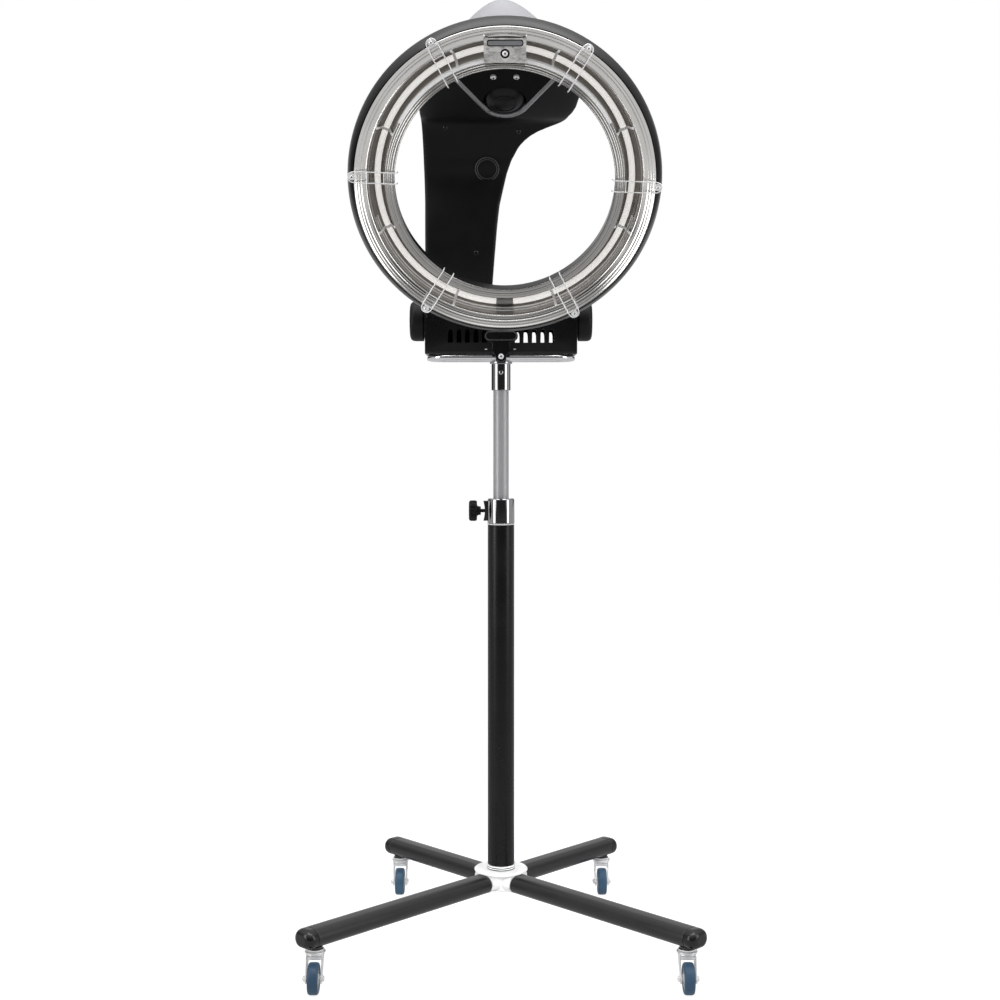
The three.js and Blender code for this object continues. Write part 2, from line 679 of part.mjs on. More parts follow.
// Two C-shaped lamps meet at the foot of the ring and plug into the terminal plate at its top
class LampArc extends THREE.Curve {
  constructor(side, start, end) {
    super();
    Object.assign(this, { side, start, end });
  }

  getPoint(share) {
    const turn = this.start + (this.end - this.start) * share;
    return new THREE.Vector3(
      this.side * lampCircle * Math.cos(turn), lampCircle * Math.sin(turn), -lampDepth);
  }
}
const bentRod = (radius, side, start, end, steps) => new THREE.ExtrudeGeometry(disc(radius, 8), {
  steps, extrudePath: new LampArc(side, start, end), bevelEnabled: false,
});
const lampFoot = -Math.PI / 2 + lampGapAngle / 2;
const lampEnd = Math.PI / 2 - Math.asin((terminalHalfLength - lampPlug) / lampCircle);
place(ring, 'lamp_left', bentRod(lampRadius, -1, lampFoot, lampEnd, 20), lampGlass);
place(ring, 'lamp_right', bentRod(lampRadius, 1, lampFoot, lampEnd, 20), lampGlass);

const holderHalf = lampRadius + 3;
const lampHole = (side) => bentRod(lampRadius + 2 * seatGap, side, lampEnd - degrees(10),
  lampEnd + 2 * seatGap / lampCircle, 3);
const plateTop = lampCircle + troughHalfWidth + 2;
const plateBottom = holeRadius + 9;
const plateFace = -2.5;
const terminalPlate = block([-terminalHalfLength, plateBottom, plateFace - terminalPlateThickness],
  [terminalHalfLength, plateTop, plateFace]);
const holderBlock = block([-terminalHalfLength + 2, lampCircle - holderHalf - 2, -lampDepth - holderHalf + 3],
  [terminalHalfLength - 2, lampCircle + holderHalf - 2, plateFace - 1]);
const standoff = turnedZ(rodProfile(3, seatGap - troughDepth, -lampDepth), 12)
  .translate(0, lampCircle, 0);
place(ring, 'terminal_plate',
  cut(join(terminalPlate, holderBlock, standoff), lampHole(1), lampHole(-1)), zinc);

// Wire guards: one bent wire each, hooked over the inner rim and closed across the outer rim
const guardLift = guardWireRadius + seatGap;
const guardHookGap = 2 * guardLift;
const guardSection = disc(guardWireRadius, 5);
const guardHook = [
  [holeRadius - guardHookGap, -7], [holeRadius - guardHookGap, -1],
  [holeRadius + 2, guardLift], [lampCircle, guardLift], [rimRadius - 4, guardLift],
];
const guardEnd = rimRadius + 3;
const guardHalf = guardSpacing / 2;
const guardPoints = [
  ...guardHook.map(([radius, lift]) => new THREE.Vector3(radius, -guardHalf, lift)),
  new THREE.Vector3(guardEnd, -guardHalf + 3, guardLift),
  new THREE.Vector3(guardEnd, guardHalf - 3, guardLift),
  ...guardHook.toReversed().map(([radius, lift]) => new THREE.Vector3(radius, guardHalf, lift)),
];
const guardCurve = new THREE.CatmullRomCurve3(guardPoints, false, 'centripetal');
for (let k = 0; k < guardCount; k += 1) {
  const guard = new THREE.ExtrudeGeometry(guardSection, {
    steps: 20, extrudePath: guardCurve, bevelEnabled: false,
  });
  const turn = guardPhase + (2 * Math.PI * k) / guardCount;
  place(ring, `wire_guard_${k + 1}`, guard.rotateZ(turn), chrome);
}

// Orbit frame: +Z of the group is the orbit axis through the ring's centre, -Y is its front
const orbitTilt = orbitAngle - ringTilt;
const orbit = new THREE.Group();
orbit.position.copy(ringMiddle);
orbit.rotation.x = -orbitTilt;
model.add(orbit);

// Height of the arm's head above the ring's centre, clear of the turning shell
const headRise = rimRadius * Math.cos(orbitAngle) + (shellDepth - 8) * Math.sin(orbitAngle);
const hubTopRise = headRise - seatGap * 2;
const yokeRise = headRise - yokeDrop;
const hubProfile = [
  [0, hubTopRise - hubDrop], [hubRadius * 0.5, hubTopRise - hubDrop + 1.5],
  [hubRadius * 0.82, hubTopRise - hubDrop + 5], [hubRadius, hubTopRise - hubDrop + 12],
  [hubRadius, hubTopRise - 12], [hubRadius + 5, hubTopRise - 6], [hubRadius + 5, hubTopRise],
  [hubShaftRadius, hubTopRise], [hubShaftRadius, hubTopRise + hubShaftLength],
  [0, hubTopRise + hubShaftLength],
];
place(orbit, 'orbit_hub', turnedZ(hubProfile, 24), blackPlastic);

// Yoke: a shield-shaped plate round the hub, cut to the ring's inner wall
const yokeFront = holeRadius * Math.sin(orbitAngle);
const yokeShape = new THREE.Shape();
const yokeHeel = hubRadius + 6;
yokeShape.moveTo(-yokeHalfWidth, -yokeFront);
yokeShape.lineTo(yokeHalfWidth, -yokeFront);
yokeShape.lineTo(yokeHalfWidth, -yokeShoulder);
const shoulderTurn = -Math.atan2(yokeShoulder, yokeHalfWidth);
const heelTurn = shoulderTurn + Math.acos(yokeHeel / Math.hypot(yokeHalfWidth, yokeShoulder));
yokeShape.absarc(0, 0, yokeHeel, heelTurn, Math.PI - heelTurn);
yokeShape.lineTo(-yokeHalfWidth, -yokeShoulder);
const toRing = new THREE.Matrix4().makeRotationX(Math.PI / 2 + ringTilt);
const fromOrbit = new THREE.Matrix4().makeRotationX(-orbitTilt).invert();
const holeReachHalf = 2 * shellDepth;
const plugRadius = holeRadius - seatGap;
const holePlug = turnedRing([
  [0, holeReachHalf], [shellHeel, holeReachHalf], [shellHeel, shellDepth + 2 * seatGap],
  [shellHeel - seatGap, shellDepth + seatGap],
  [plugRadius + shellInnerSlope, shellInnerDepth], [plugRadius, shellInnerFront],
  [plugRadius, -holeReachHalf], [0, -holeReachHalf],
], ringSegments).applyMatrix4(toRing).applyMatrix4(fromOrbit);
const yokePlate = alongZ(coarse(yokeShape, 16), yokeRise - yokeThickness / 2, yokeRise + yokeThickness / 2);
const hubPlug = turnedZ(rodProfile(hubRadius + seatGap, 0, headRise), 24);
place(orbit, 'ring_yoke', cut(common(yokePlate, holePlug), hubPlug), blackPlastic);

// Motor above the head's underside
const motorFoot = headRise + coverWall + seatGap;
place(orbit, 'orbit_motor', turnedZ([
  [hubShaftRadius + 1, motorFoot], [motorRadius, motorFoot], [motorRadius, motorFoot + motorLength],
  [0, motorFoot + motorLength], [0, motorFoot + 25], [hubShaftRadius + 1, motorFoot + 25],
  [hubShaftRadius + 1, motorFoot],
], 24), steel);

// Arm: side profile in (y, z), kept outside the sphere that the turning ring sweeps
const sweep = Math.hypot(shellRadius, 24) + swingGap + 5;
const aroundRing = (radius, angle) => [
  ringMiddle.y + radius * Math.cos(angle), ringMiddle.z + radius * Math.sin(angle)];
const onOrbit = (rise, front) => [
  ringMiddle.y + rise * Math.sin(orbitTilt) - front * Math.cos(orbitTilt),
  ringMiddle.z + rise * Math.cos(orbitTilt) + front * Math.sin(orbitTilt)];
const frontAngles = [8, 16, 22].map(degrees);
const backAngles = [8, 18, 28, 37].map(degrees);
const neckHeight = tiltAxis + neckRise;
const stemStart = tiltAxis + stemRise;
const stemBack = ringMiddle.y + sweep + stemDepth;
const stemFront = ringMiddle.y + sweep;

const frontLine = [
  [-drumRadius, neckHeight], [stemFront + 14, stemStart],
  ...frontAngles.map((angle) => aroundRing(sweep, angle)),
  onOrbit(headRise + 6, -headRadius * 1.5), onOrbit(headRise + 1.5, -headRadius * 1.2),
  onOrbit(headRise, -headRadius + 6), onOrbit(headRise, headRadius), onOrbit(headRise + 8, headRadius + 6),
];
const splitLine = [
  [-drumRadius + coverSplit, neckHeight], [stemFront + 14 + coverSplit, stemStart],
  ...frontAngles.map((angle) => aroundRing(sweep + coverSplit, angle)),
  onOrbit(headRise + coverSplit + 8, -headRadius * 1.5),
  onOrbit(headRise + coverSplit + 4, -headRadius * 1.2), onOrbit(headRise + coverSplit + 4, headRadius + 6),
];
const backLine = [
  [drumRadius, neckHeight], [stemBack + 2, stemStart],
  ...backAngles.map((angle) => aroundRing(sweep + stemDepth, angle)),
  onOrbit(headRise + headDepth - 12, -headRadius * 0.8), onOrbit(headRise + headDepth, -headRadius * 0.25),
  onOrbit(headRise + headDepth, headRadius * 0.3), onOrbit(headRise + headDepth - 14, headRadius * 0.7),
  onOrbit(headRise + headDepth * 0.6, headRadius), onOrbit(headRise + coverSplit + 8, headRadius + 6),
];
const moved = (line, dy, dz) => line.map(([y, z]) => [y + dy, z + dz]);

// Front outline in (x, height above the ring's centre): S-shaped right edge, domed head,
// nearly straight left edge
const headTopRise = onOrbit(headRise + headDepth, headRadius * 0.3)[1] + 2 - ringMiddle.z;
const armLeft = -housingHalfLength + 1;
const armNeckLeft = armSideStart + 2.5;
const armNeckRight = armSideEnd - 2.5;
const rightEdge = [[-8, -40], [4, 35], [31, 100], [72, 128], [116, 142], [130, 153], [headHalf - 4, 176]];
const headSide = [
  [125, 204], [108, 236], [82, 266], [66, headTopRise - 38], [54, headTopRise - 28], [41, headTopRise - 18],
  [28, headTopRise - 8], [18, headTopRise - 3.5],
].map(([half, rise]) => [headMiddle + half, rise]);
const acrossHead = ([x, rise]) => [2 * headMiddle - x, rise];
const leftEdge = [[-headHalf, 176], [-139, 120], [armLeft, 10]];
const overRing = ([x, rise]) => new THREE.Vector2(x, ringMiddle.z + rise);
const mirrored = ([x, rise]) => [-x, rise];
const armOutline = new THREE.Path();
armOutline.moveTo(armNeckRight, neckHeight);
armOutline.lineTo(armNeckRight, stemStart);
armOutline.splineThru(rightEdge.map(overRing));
const headOutline = [...headSide, [headMiddle, headTopRise], ...headSide.toReversed().map(acrossHead)];
for (const point of [...headOutline, ...leftEdge]) {
  const { x, y } = overRing(point);
  armOutline.lineTo(x, y);
}
armOutline.lineTo(armLeft, stemStart + 12);
armOutline.lineTo(armNeckLeft, stemStart - 8);
armOutline.lineTo(armNeckLeft, neckHeight);
const outlinePoints = armOutline.getPoints(2).map(({ x, y }) => [x, y]);
const insideOutline = inset(outlinePoints, coverWall)
  .map(([x, z]) => [x, z < neckHeight + 2 * coverWall ? neckHeight - 2 * coverWall : z]);

const farFront = -2 * ringReach;
const farBack = ringReach;
const wideX = 2 * headHalf;
const outlineBar = alongY(shapeOf(outlinePoints), farFront, farBack);
const insideBar = alongY(shapeOf(insideOutline), farFront, farBack);
const profileBar = (points) => alongX(shapeOf(points), -wideX, wideX);

// Plan of the head across the orbit axis: a round nose, wide open towards the stem
const noseSide = [
  [60, 88], [100, 60], [126, 15], [headHalf + 3, -60], [wideX, -wideX], [wideX, -2 * wideX],
];
const planPoints = [
  ...noseSide.toReversed(), [0, headRadius + 6], ...noseSide.map(mirrored),
].map(([x, front]) => [x, -front]);
const planBar = (points) => alongZ(shapeOf(points), -wideX, 2 * wideX).rotateX(-orbitTilt)
  .translate(ringMiddle.x, ringMiddle.y, ringMiddle.z);
const skinPlan = planBar(planPoints);
const roomPlan = planBar(inset(planPoints, coverWall));

const openNeck = ([y, z], k, all) =>
  [y, k === 0 || k === all.length - 1 ? neckHeight - 2 * coverWall : z];

const frontSkin = [...frontLine, ...splitLine.toReversed()];
const frontRoom = [
  ...inset(frontSkin, coverWall).slice(0, frontLine.length),
  ...moved(splitLine, 12, 12).toReversed(),
].map(openNeck);
const shaftHole = turnedZ(
  rodProfile(hubShaftRadius + 2, headRise - 2 * coverWall, headRise + 2 * coverSplit), 20)
  .applyMatrix4(new THREE.Matrix4().makeRotationX(-orbitTilt))
  .translate(ringMiddle.x, ringMiddle.y, ringMiddle.z);
place(model, 'arm_front_cover', cut(
  common(common(outlineBar, profileBar(frontSkin)), skinPlan),
  common(common(insideBar, profileBar(frontRoom)), roomPlan),
  shaftHole,
), blackPlastic);

const rearSplit = moved(splitLine, seatGap, seatGap);
const rearSkin = [...rearSplit, ...backLine.toReversed()];
const rearInset = inset(rearSkin, coverWall).slice(rearSplit.length);
const rearRoom = [...moved(splitLine, -12, -12), ...rearInset].map(openNeck);
place(model, 'arm_rear_cover', cut(
  common(common(outlineBar, profileBar(rearSkin)), skinPlan),
  common(common(insideBar, profileBar(rearRoom)), roomPlan),
), silverPlastic);

// Spine: a drum on the tilt shaft and a strap up the inside of the front cover
const spineSkin = inset(frontSkin, coverWall + seatGap).slice(0, frontAngles.length + 4);
const spineBack = inset(frontSkin, coverWall + seatGap + spineThickness).slice(0, frontAngles.length + 4);
const strap = alongX(shapeOf([
  [spineSkin[0][0], tiltAxis], ...spineSkin, ...spineBack.toReversed(), [-tiltShaftRadius * 2, tiltAxis],
]), armNeckLeft + strapMargin, armNeckRight - strapMargin);
const drum = turnedX(ringProfile(shaftBore, spineDrumRadius, armNeckLeft, armNeckRight), 20)
  .translate(0, 0, tiltAxis);
place(model, 'arm_spine', join(drum, strap), steel);

// Control panel: a flat keypad laid on the operator's side of the stem
const panelLeft = (armLeft + armNeckRight) / 2 - panelWidth / 2;
const panelFoot = new THREE.Vector2(...backLine[1]);
const panelRun = new THREE.Vector2(...backLine[2]).sub(panelFoot).normalize();
const panelOut = new THREE.Vector2(panelRun.y, -panelRun.x);
const onStem = (run, out) => panelFoot.clone().addScaledVector(panelRun, run)
  .addScaledVector(panelOut, out).toArray();
place(model, 'control_panel', alongX(shapeOf([
  onStem(panelStart, seatGap),
  onStem(panelStart, seatGap + panelThickness),
  onStem(panelStart + panelHeight, seatGap + panelThickness),
  onStem(panelStart + panelHeight, seatGap),
]), panelLeft, panelLeft + panelWidth), blackPlastic);

// Origin: on the floor under the middle of the object's box
const box = new THREE.Box3().setFromObject(model);
model.position.set(-(box.min.x + box.max.x) / 2, -(box.min.y + box.max.y) / 2, -box.min.z);

export default model;
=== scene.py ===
"""Hair color processor: pieces, finishes and studio, laid out as an add-on and run as a script."""

import json
import math

import bmesh
import bpy
from mathutils import Matrix, Vector


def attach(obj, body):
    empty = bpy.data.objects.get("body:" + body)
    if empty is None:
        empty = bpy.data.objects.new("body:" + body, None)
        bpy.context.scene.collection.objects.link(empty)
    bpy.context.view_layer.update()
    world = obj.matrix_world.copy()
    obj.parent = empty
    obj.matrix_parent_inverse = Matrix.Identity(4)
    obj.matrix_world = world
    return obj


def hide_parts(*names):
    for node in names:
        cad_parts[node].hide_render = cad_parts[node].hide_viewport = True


bl_info = {
    "name": "Hair color processor",
    "version": (1, 0, 0),
    "blender": (4, 5, 0),
    "location": "View3D > Sidebar > Processor",
    "description": "Dresses the packed hair color processor with its pieces, finishes and studio",
    "category": "Object",
}

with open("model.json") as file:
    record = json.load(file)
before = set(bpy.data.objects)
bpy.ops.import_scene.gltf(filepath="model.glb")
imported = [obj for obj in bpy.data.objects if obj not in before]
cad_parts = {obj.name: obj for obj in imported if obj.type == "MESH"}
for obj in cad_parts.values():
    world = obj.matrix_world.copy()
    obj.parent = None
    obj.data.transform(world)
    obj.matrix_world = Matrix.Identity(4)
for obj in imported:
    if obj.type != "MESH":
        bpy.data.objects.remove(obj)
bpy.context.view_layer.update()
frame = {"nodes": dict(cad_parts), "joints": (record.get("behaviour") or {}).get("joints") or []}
JOINTS = {joint["name"]: joint for joint in frame["joints"]}
CASTERS = ("front_left", "front_right", "rear_left", "rear_right")

# Sizes below are in millimetres, with the column's axis at x = y = 0, unless a name says otherwise
MM = 0.001
LEG_ANGLE = math.radians(46)
LEG_REACH = {"front": 459, "rear": 311}
LEG_HALF_WIDTH = 22
LEG_HALF_HEIGHT = 15
LEG_MIDDLE = 86
LEG_ROOT = 45
SPIGOT_INSET = 2.4
SPIGOT_LENGTH = 30
CAP_LENGTH = 22
CAP_ROUND = 13
CAP_BLUNT = 0.62
HUB_TOP = 105.3
DISH_TOP = 63.4
WHEEL_RADIUS = 25
TRAIL = 20
CHEEK_INSIDE = 11.2
CHEEK_OUTSIDE = 13.5
NUT_RADIUS = 4.9
CLAMP_HEIGHT = 751.5
EAR_HALF = 18
EAR_SLIT = 1.4
EAR_SIDE = 7
KNOB_RADIUS = 18.7
KNOB_DIPS = 9
KNOB_DIP_DEPTH = 1.7
RING_TILT = math.radians(19.5)
ORBIT_TILT = math.radians(45) - RING_TILT
LAMP_CIRCLE = 206
LAMP_RADIUS = 5.2
LAMP_DEPTH = 44
LAMP_GAP = 25
CLIP_HALF = 2.2
CLIP_HOLD = 6.6
GUARD_COUNT = 6
GUARD_PHASE = math.radians(-2)
GUARD_HALF = 8.75
GUARD_WIRE = 0.95
RUNG_WIRE = 0.8
TERMINAL_MIDDLE = 204
TERMINAL_SCREW = 199
STRIP_MIDDLE = 215
YOKE_DROP = 45
YOKE_HALF = 100
YOKE_SHOULDER = 78
YOKE_HEEL = 41
YOKE_FRONT = 124
YOKE_HALF_DEPTH = 6
HEAD_RISE = 210
PLATE_RISE = 236
HEAD_LEAN = 4
STEM_FACE = 263.1
STEM_SPLIT = 285.1
STEM_BACK = 337.1
TILT_AXIS = 1094.3
RAIL_MIDDLE = 1028
RAIL_HALF = 129
RAIL_DEPTH = 33
RAIL_RADIUS = 5.7
RAIL_DROP = 0.6
HOUSING_BOTTOM = 1033.3
HOUSING_HALF = 136
HOUSING_DEPTH = 43
HOUSING_FOOT = 40
HOUSING_WALL = 3
VENT_COUNT = 5
VENT_START = 29.5
VENT_PITCH = 15.2
VENT_FOOT = 20
SHAFT_HOLE = 8.4
SHIELD_RADIUS = 37.6
SHIELD_WALL = 2
LEVER_BACK = 46.4
LEVER_THICKNESS = 9
LEVER_SCREW_FRONT = 56.8
INLET_MIDDLE = 90.3
INLET_BACK = 43.3

# Shares that shape the rear cover's crown: flat on the stem, domed on the head
CROWN_START = 150
CROWN_RUN = 130
FLAT_CROWN = 0.32
DOME_SPREAD = 0.68
DOME_LIFT = 3.08

# The photograph's camera: pixels, millimetres of sensor and metres
PICTURE_WIDTH = 1000
FOCAL_PIXELS = 1480
SENSOR_WIDTH = 36
CAMERA_SHIFT = -0.0675
CAMERA_SIDE = -0.0018
CAMERA_DISTANCE = 2.681
CAMERA_HEIGHT = 0.893


def joint_place(name):
    """Where a joint of the frame sits, in metres."""
    return Vector(JOINTS[name]["pos_m"])


AXIS_Y = joint_place("head_swivel").y
SCALE = Matrix.Scale(MM, 4)
COLUMN = Matrix.Translation((0, AXIS_Y, 0)) @ SCALE
RING_AT = joint_place("ring_orbit")
RING = Matrix.Translation(RING_AT) @ Matrix.Rotation(math.pi / 2 + RING_TILT, 4, "X") @ SCALE
ORBIT = Matrix.Translation(RING_AT) @ Matrix.Rotation(-ORBIT_TILT, 4, "X") @ SCALE
RING_X = RING_AT.x / MM
RING_Y = (RING_AT.y - AXIS_Y) / MM
RING_Z = RING_AT.z / MM
TO_X = Matrix.Rotation(math.pi / 2, 4, "Y")
TO_FRONT = Matrix.Rotation(math.pi / 2, 4, "X")
SIDEWAYS = Matrix(((0, 0, 1, 0), (1, 0, 0, 0), (0, 1, 0, 0), (0, 0, 0, 1)))


# Shapes

def turned(bm, profile, steps=72, closed=False, place=Matrix.Identity(4)):
    """Spin (radius, height) pairs round local Z."""
    verts = [bm.verts.new((radius, 0, height)) for radius, height in profile]
    edges = [bm.edges.new(pair) for pair in zip(verts, verts[1:])]
    if closed:
        edges.append(bm.edges.new((verts[-1], verts[0])))
    before = set(bm.verts) - set(verts)
    bmesh.ops.spin(bm, geom=verts + edges, cent=(0, 0, 0), axis=(0, 0, 1), angle=2 * math.pi,
                   steps=steps, use_merge=True)
    made = [vert for vert in bm.verts if vert not in before]
    bmesh.ops.remove_doubles(bm, verts=made, dist=1e-4)
    made = [vert for vert in bm.verts if vert not in before]
    bmesh.ops.transform(bm, matrix=place, verts=made)
    return made


def plate(bm, outline, low, high, place=Matrix.Identity(4)):
    """Raise a flat (x, y) outline from low to high along local Z."""
    verts = [bm.verts.new((x, y, low)) for x, y in outline]
    face = bm.faces.new(verts)
    raised = bmesh.ops.extrude_face_region(bm, geom=[face])
    tops = [item for item in raised["geom"] if isinstance(item, bmesh.types.BMVert)]
    bmesh.ops.translate(bm, vec=(0, 0, high - low), verts=tops)
    bmesh.ops.transform(bm, matrix=place, verts=verts + tops)
    return verts + tops


def lofted(bm, rings):
    """Bridge closed rings of points, one after the other, and close both ends."""
    loops = []
    for ring in rings:
        verts = [bm.verts.new(point) for point in ring]
        loops.append([bm.edges.new(pair) for pair in zip(verts, verts[1:] + verts[:1])])
    for first, second in zip(loops, loops[1:]):
        bmesh.ops.bridge_loops(bm, edges=first + second)
    bmesh.ops.edgeloop_fill(bm, edges=loops[0])
    bmesh.ops.edgeloop_fill(bm, edges=loops[-1])


def rod(bm, points, radius, closed=False, sides=5, steps=8):
    """A round rod along a smooth line through the points."""
    line = bpy.data.curves.new("rod", "CURVE")
    line.dimensions = "3D"
    line.bevel_depth = radius
    line.bevel_resolution = sides
    line.resolution_u = steps
    line.use_fill_caps = True
    spline = line.splines.new("BEZIER")
    spline.bezier_points.add(len(points) - 1)
    spline.use_cyclic_u = closed
    for knot, point in zip(spline.bezier_points, points):
        knot.co = point
        knot.handle_left_type = "AUTO"
        knot.handle_right_type = "AUTO"
    carrier = bpy.data.objects.new("rod", line)
    bpy.context.scene.collection.objects.link(carrier)
    mesh = bpy.data.meshes.new_from_object(carrier.evaluated_get(bpy.context.evaluated_depsgraph_get()))
    bpy.data.objects.remove(carrier)
    bpy.data.curves.remove(line)
    bm.from_mesh(mesh)
    bpy.data.meshes.remove(mesh)


def oval(half_width, half_height, count=12):
    """Flat-oval outline, wide along its first axis."""
    straight = half_width - half_height
    right = [-math.pi / 2 + math.pi * k / count for k in range(count + 1)]
    ends = [(straight + half_height * math.cos(a), half_height * math.sin(a)) for a in right]
    return ends + [(-x, -y) for x, y in ends]


def rounded_box(half_x, half_y, radius, count=5):
    """Rectangle outline with round corners."""
    points = []
    for quarter in range(4):
        cx = (half_x - radius) * (1 if quarter in (0, 3) else -1)
        cy = (half_y - radius) * (1 if quarter in (0, 1) else -1)
        for k in range(count + 1):
            turn = math.pi / 2 * (quarter + k / count)
            points.append((cx + radius * math.cos(turn), cy + radius * math.sin(turn)))
    return points


def disc(radius, count=32):
    """Round outline."""
    return [(radius * math.cos(2 * math.pi * k / count), radius * math.sin(2 * math.pi * k / count))
            for k in range(count)]


def pan_screw(bm, radius, place):
    """Pan head with a cross recess, its face towards local +Z."""
    turned(bm, [(0, radius * 0.55), (radius * 0.45, radius * 0.52), (radius * 0.8, radius * 0.38),
                (radius, radius * 0.1), (radius, -radius * 0.3), (0, -radius * 0.3)], 28, place=place)
    for turn in (0, math.pi / 2):
        bar = plate(bm, rounded_box(radius * 0.5, radius * 0.11, radius * 0.05, 2),
                    radius * 0.5, radius * 0.57, place @ Matrix.Rotation(turn, 4, "Z"))
        # The cross recess takes slot 1, the painted-shade black in every use: painted shade in the recess.
        mark = {face for vert in bar for face in vert.link_faces}
        for face in mark:
            face.material_index = 1


def soften(bm, width, segments=2, angle=35):
    """Round every edge that is sharper than the angle."""
    sharp = [edge for edge in bm.edges
             if len(edge.link_faces) == 2 and edge.calc_face_angle() > math.radians(angle)]
    bmesh.ops.bevel(bm, geom=sharp, offset=width, segments=segments, profile=0.5, affect="EDGES",
                    material=-1, clamp_overlap=True)


def finish_piece(name, bm, place, body, finishes, stands_for=(), round_by=0, sharp=38):
    """Turn a bmesh into a piece of the model that rides on a body of the frame."""
    bmesh.ops.recalc_face_normals(bm, faces=bm.faces)
    if round_by:
        soften(bm, round_by)
    bmesh.ops.transform(bm, matrix=place, verts=bm.verts)
    for face in bm.faces:
        face.smooth = True
    for edge in bm.edges:
        if len(edge.link_faces) == 2:
            edge.smooth = edge.calc_face_angle() < math.radians(sharp)
    mesh = bpy.data.meshes.new(name)
    bm.to_mesh(mesh)
    bm.free()
    for finish in finishes:
        mesh.materials.append(bpy.data.materials[finish])
    piece = bpy.data.objects.new(name, mesh)
    bpy.context.scene.collection.objects.link(piece)
    weights = piece.modifiers.new("even_normals", "WEIGHTED_NORMAL")
    weights.keep_sharp = True
    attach(piece, body)
    if stands_for:
        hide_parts(*stands_for)
    return piece


def carved(piece, bm, place):
    """Cut the solids of a bmesh out of a piece."""
    bmesh.ops.recalc_face_normals(bm, faces=bm.faces)
    bmesh.ops.transform(bm, matrix=place, verts=bm.verts)
    mesh = bpy.data.meshes.new("cutter")
    bm.to_mesh(mesh)
    bm.free()
    cutter = bpy.data.objects.new("cutter", mesh)
    bpy.context.scene.collection.objects.link(cutter)
    knife = piece.modifiers.new("cut", "BOOLEAN")
    knife.operation = "DIFFERENCE"
    knife.solver = "EXACT"
    knife.object = cutter
    result = bpy.data.meshes.new_from_object(
        piece.evaluated_get(bpy.context.evaluated_depsgraph_get()))
    piece.modifiers.remove(knife)
    bpy.data.objects.remove(cutter)
    bpy.data.meshes.remove(mesh)
    old = piece.data
    piece.data = result
    result.name = old.name
    bpy.data.meshes.remove(old)


# Finishes

def shader(name):
    """A new material, its node tree and its main shader."""
    material = bpy.data.materials.new(name)
    material.use_nodes = True
    return material.node_tree, material.node_tree.nodes["Principled BSDF"]


def noise(tree, scale, detail=3.0, stretch=(1, 1, 1)):
    """Noise on object coordinates; stretch draws it out along the axes."""
    place = tree.nodes.new("ShaderNodeTexCoord")
    turn = tree.nodes.new("ShaderNodeMapping")
    turn.inputs["Scale"].default_value = stretch
    cloud = tree.nodes.new("ShaderNodeTexNoise")
    cloud.inputs["Scale"].default_value = scale
    cloud.inputs["Detail"].default_value = detail
    tree.links.new(place.outputs["Object"], turn.inputs["Vector"])
    tree.links.new(turn.outputs["Vector"], cloud.inputs["Vector"])
    return cloud.outputs["Fac"]


def blend_colours(tree, factor, low, high, start=0.35, end=0.65):
    """Colour ramp from low to high."""
    ramp = tree.nodes.new("ShaderNodeValToRGB")
    ramp.color_ramp.elements[0].position = start
    ramp.color_ramp.elements[0].color = (*low, 1)
    ramp.color_ramp.elements[1].position = end
    ramp.color_ramp.elements[1].color = (*high, 1)
    tree.links.new(factor, ramp.inputs["Fac"])
    return ramp.outputs["Color"]


def spread(tree, factor, low, high):
    """Map a 0 to 1 factor to a range."""
    node = tree.nodes.new("ShaderNodeMapRange")
    node.inputs["From Min"].default_value = 0.3
    node.inputs["From Max"].default_value = 0.7
    node.inputs["To Min"].default_value = low
    node.inputs["To Max"].default_value = high
    tree.links.new(factor, node.inputs["Value"])
    return node.outputs["Result"]


def dented(tree, factor, strength, depth):
    """Bump from a factor."""
    node = tree.nodes.new("ShaderNodeBump")
    node.inputs["Strength"].default_value = strength
    node.inputs["Distance"].default_value = depth
    tree.links.new(factor, node.inputs["Height"])
    return node.outputs["Normal"]


def paint(name, colour, spread_share, rough, grain_scale, grain_depth, metallic=0.0, coat=0.0,
          specular=0.5, stretch=(1, 1, 1), patch_scale=14.0):
    """A finish with patchy colour and gloss and a fine grain."""
    tree, main = shader(name)
    low = [part * (1 - spread_share) for part in colour]
    high = [min(1.0, part * (1 + spread_share)) for part in colour]
    patch = noise(tree, patch_scale, 4.0, stretch)
    grain = noise(tree, grain_scale, 2.0, stretch)
    tree.links.new(blend_colours(tree, patch, low, high), main.inputs["Base Color"])
    tree.links.new(spread(tree, patch, rough[0], rough[1]), main.inputs["Roughness"])
    tree.links.new(dented(tree, grain, 0.6, grain_depth), main.inputs["Normal"])
    main.inputs["Metallic"].default_value = metallic
    main.inputs["Coat Weight"].default_value = coat
    main.inputs["Coat Roughness"].default_value = 0.12
    main.inputs["Specular IOR Level"].default_value = specular
    return main


class PROCESSOR_finishes(bpy.types.PropertyGroup):
    """Colours of the finishes."""
    black: bpy.props.FloatVectorProperty(
        name="Black", description="Powder coat and moulded plastic", subtype="COLOR",
        default=(0.0045, 0.0045, 0.005), min=0, max=1)
    chrome: bpy.props.FloatVectorProperty(
        name="Chrome", description="Plated tubes, collar, rail and wires", subtype="COLOR",
        default=(0.80, 0.80, 0.82), min=0, max=1)
    reflector: bpy.props.FloatVectorProperty(
        name="Reflector", description="Bright rolled aluminium of the ring", subtype="COLOR",
        default=(0.80, 0.785, 0.765), min=0, max=1)
    silver: bpy.props.FloatVectorProperty(
        name="Silver", description="Lacquer of the operator's side cover", subtype="COLOR",
        default=(0.34, 0.34, 0.358), min=0, max=1)
    tread: bpy.props.FloatVectorProperty(
        name="Tread", description="Rubber of the wheels", subtype="COLOR",
        default=(0.040, 0.092, 0.160), min=0, max=1)


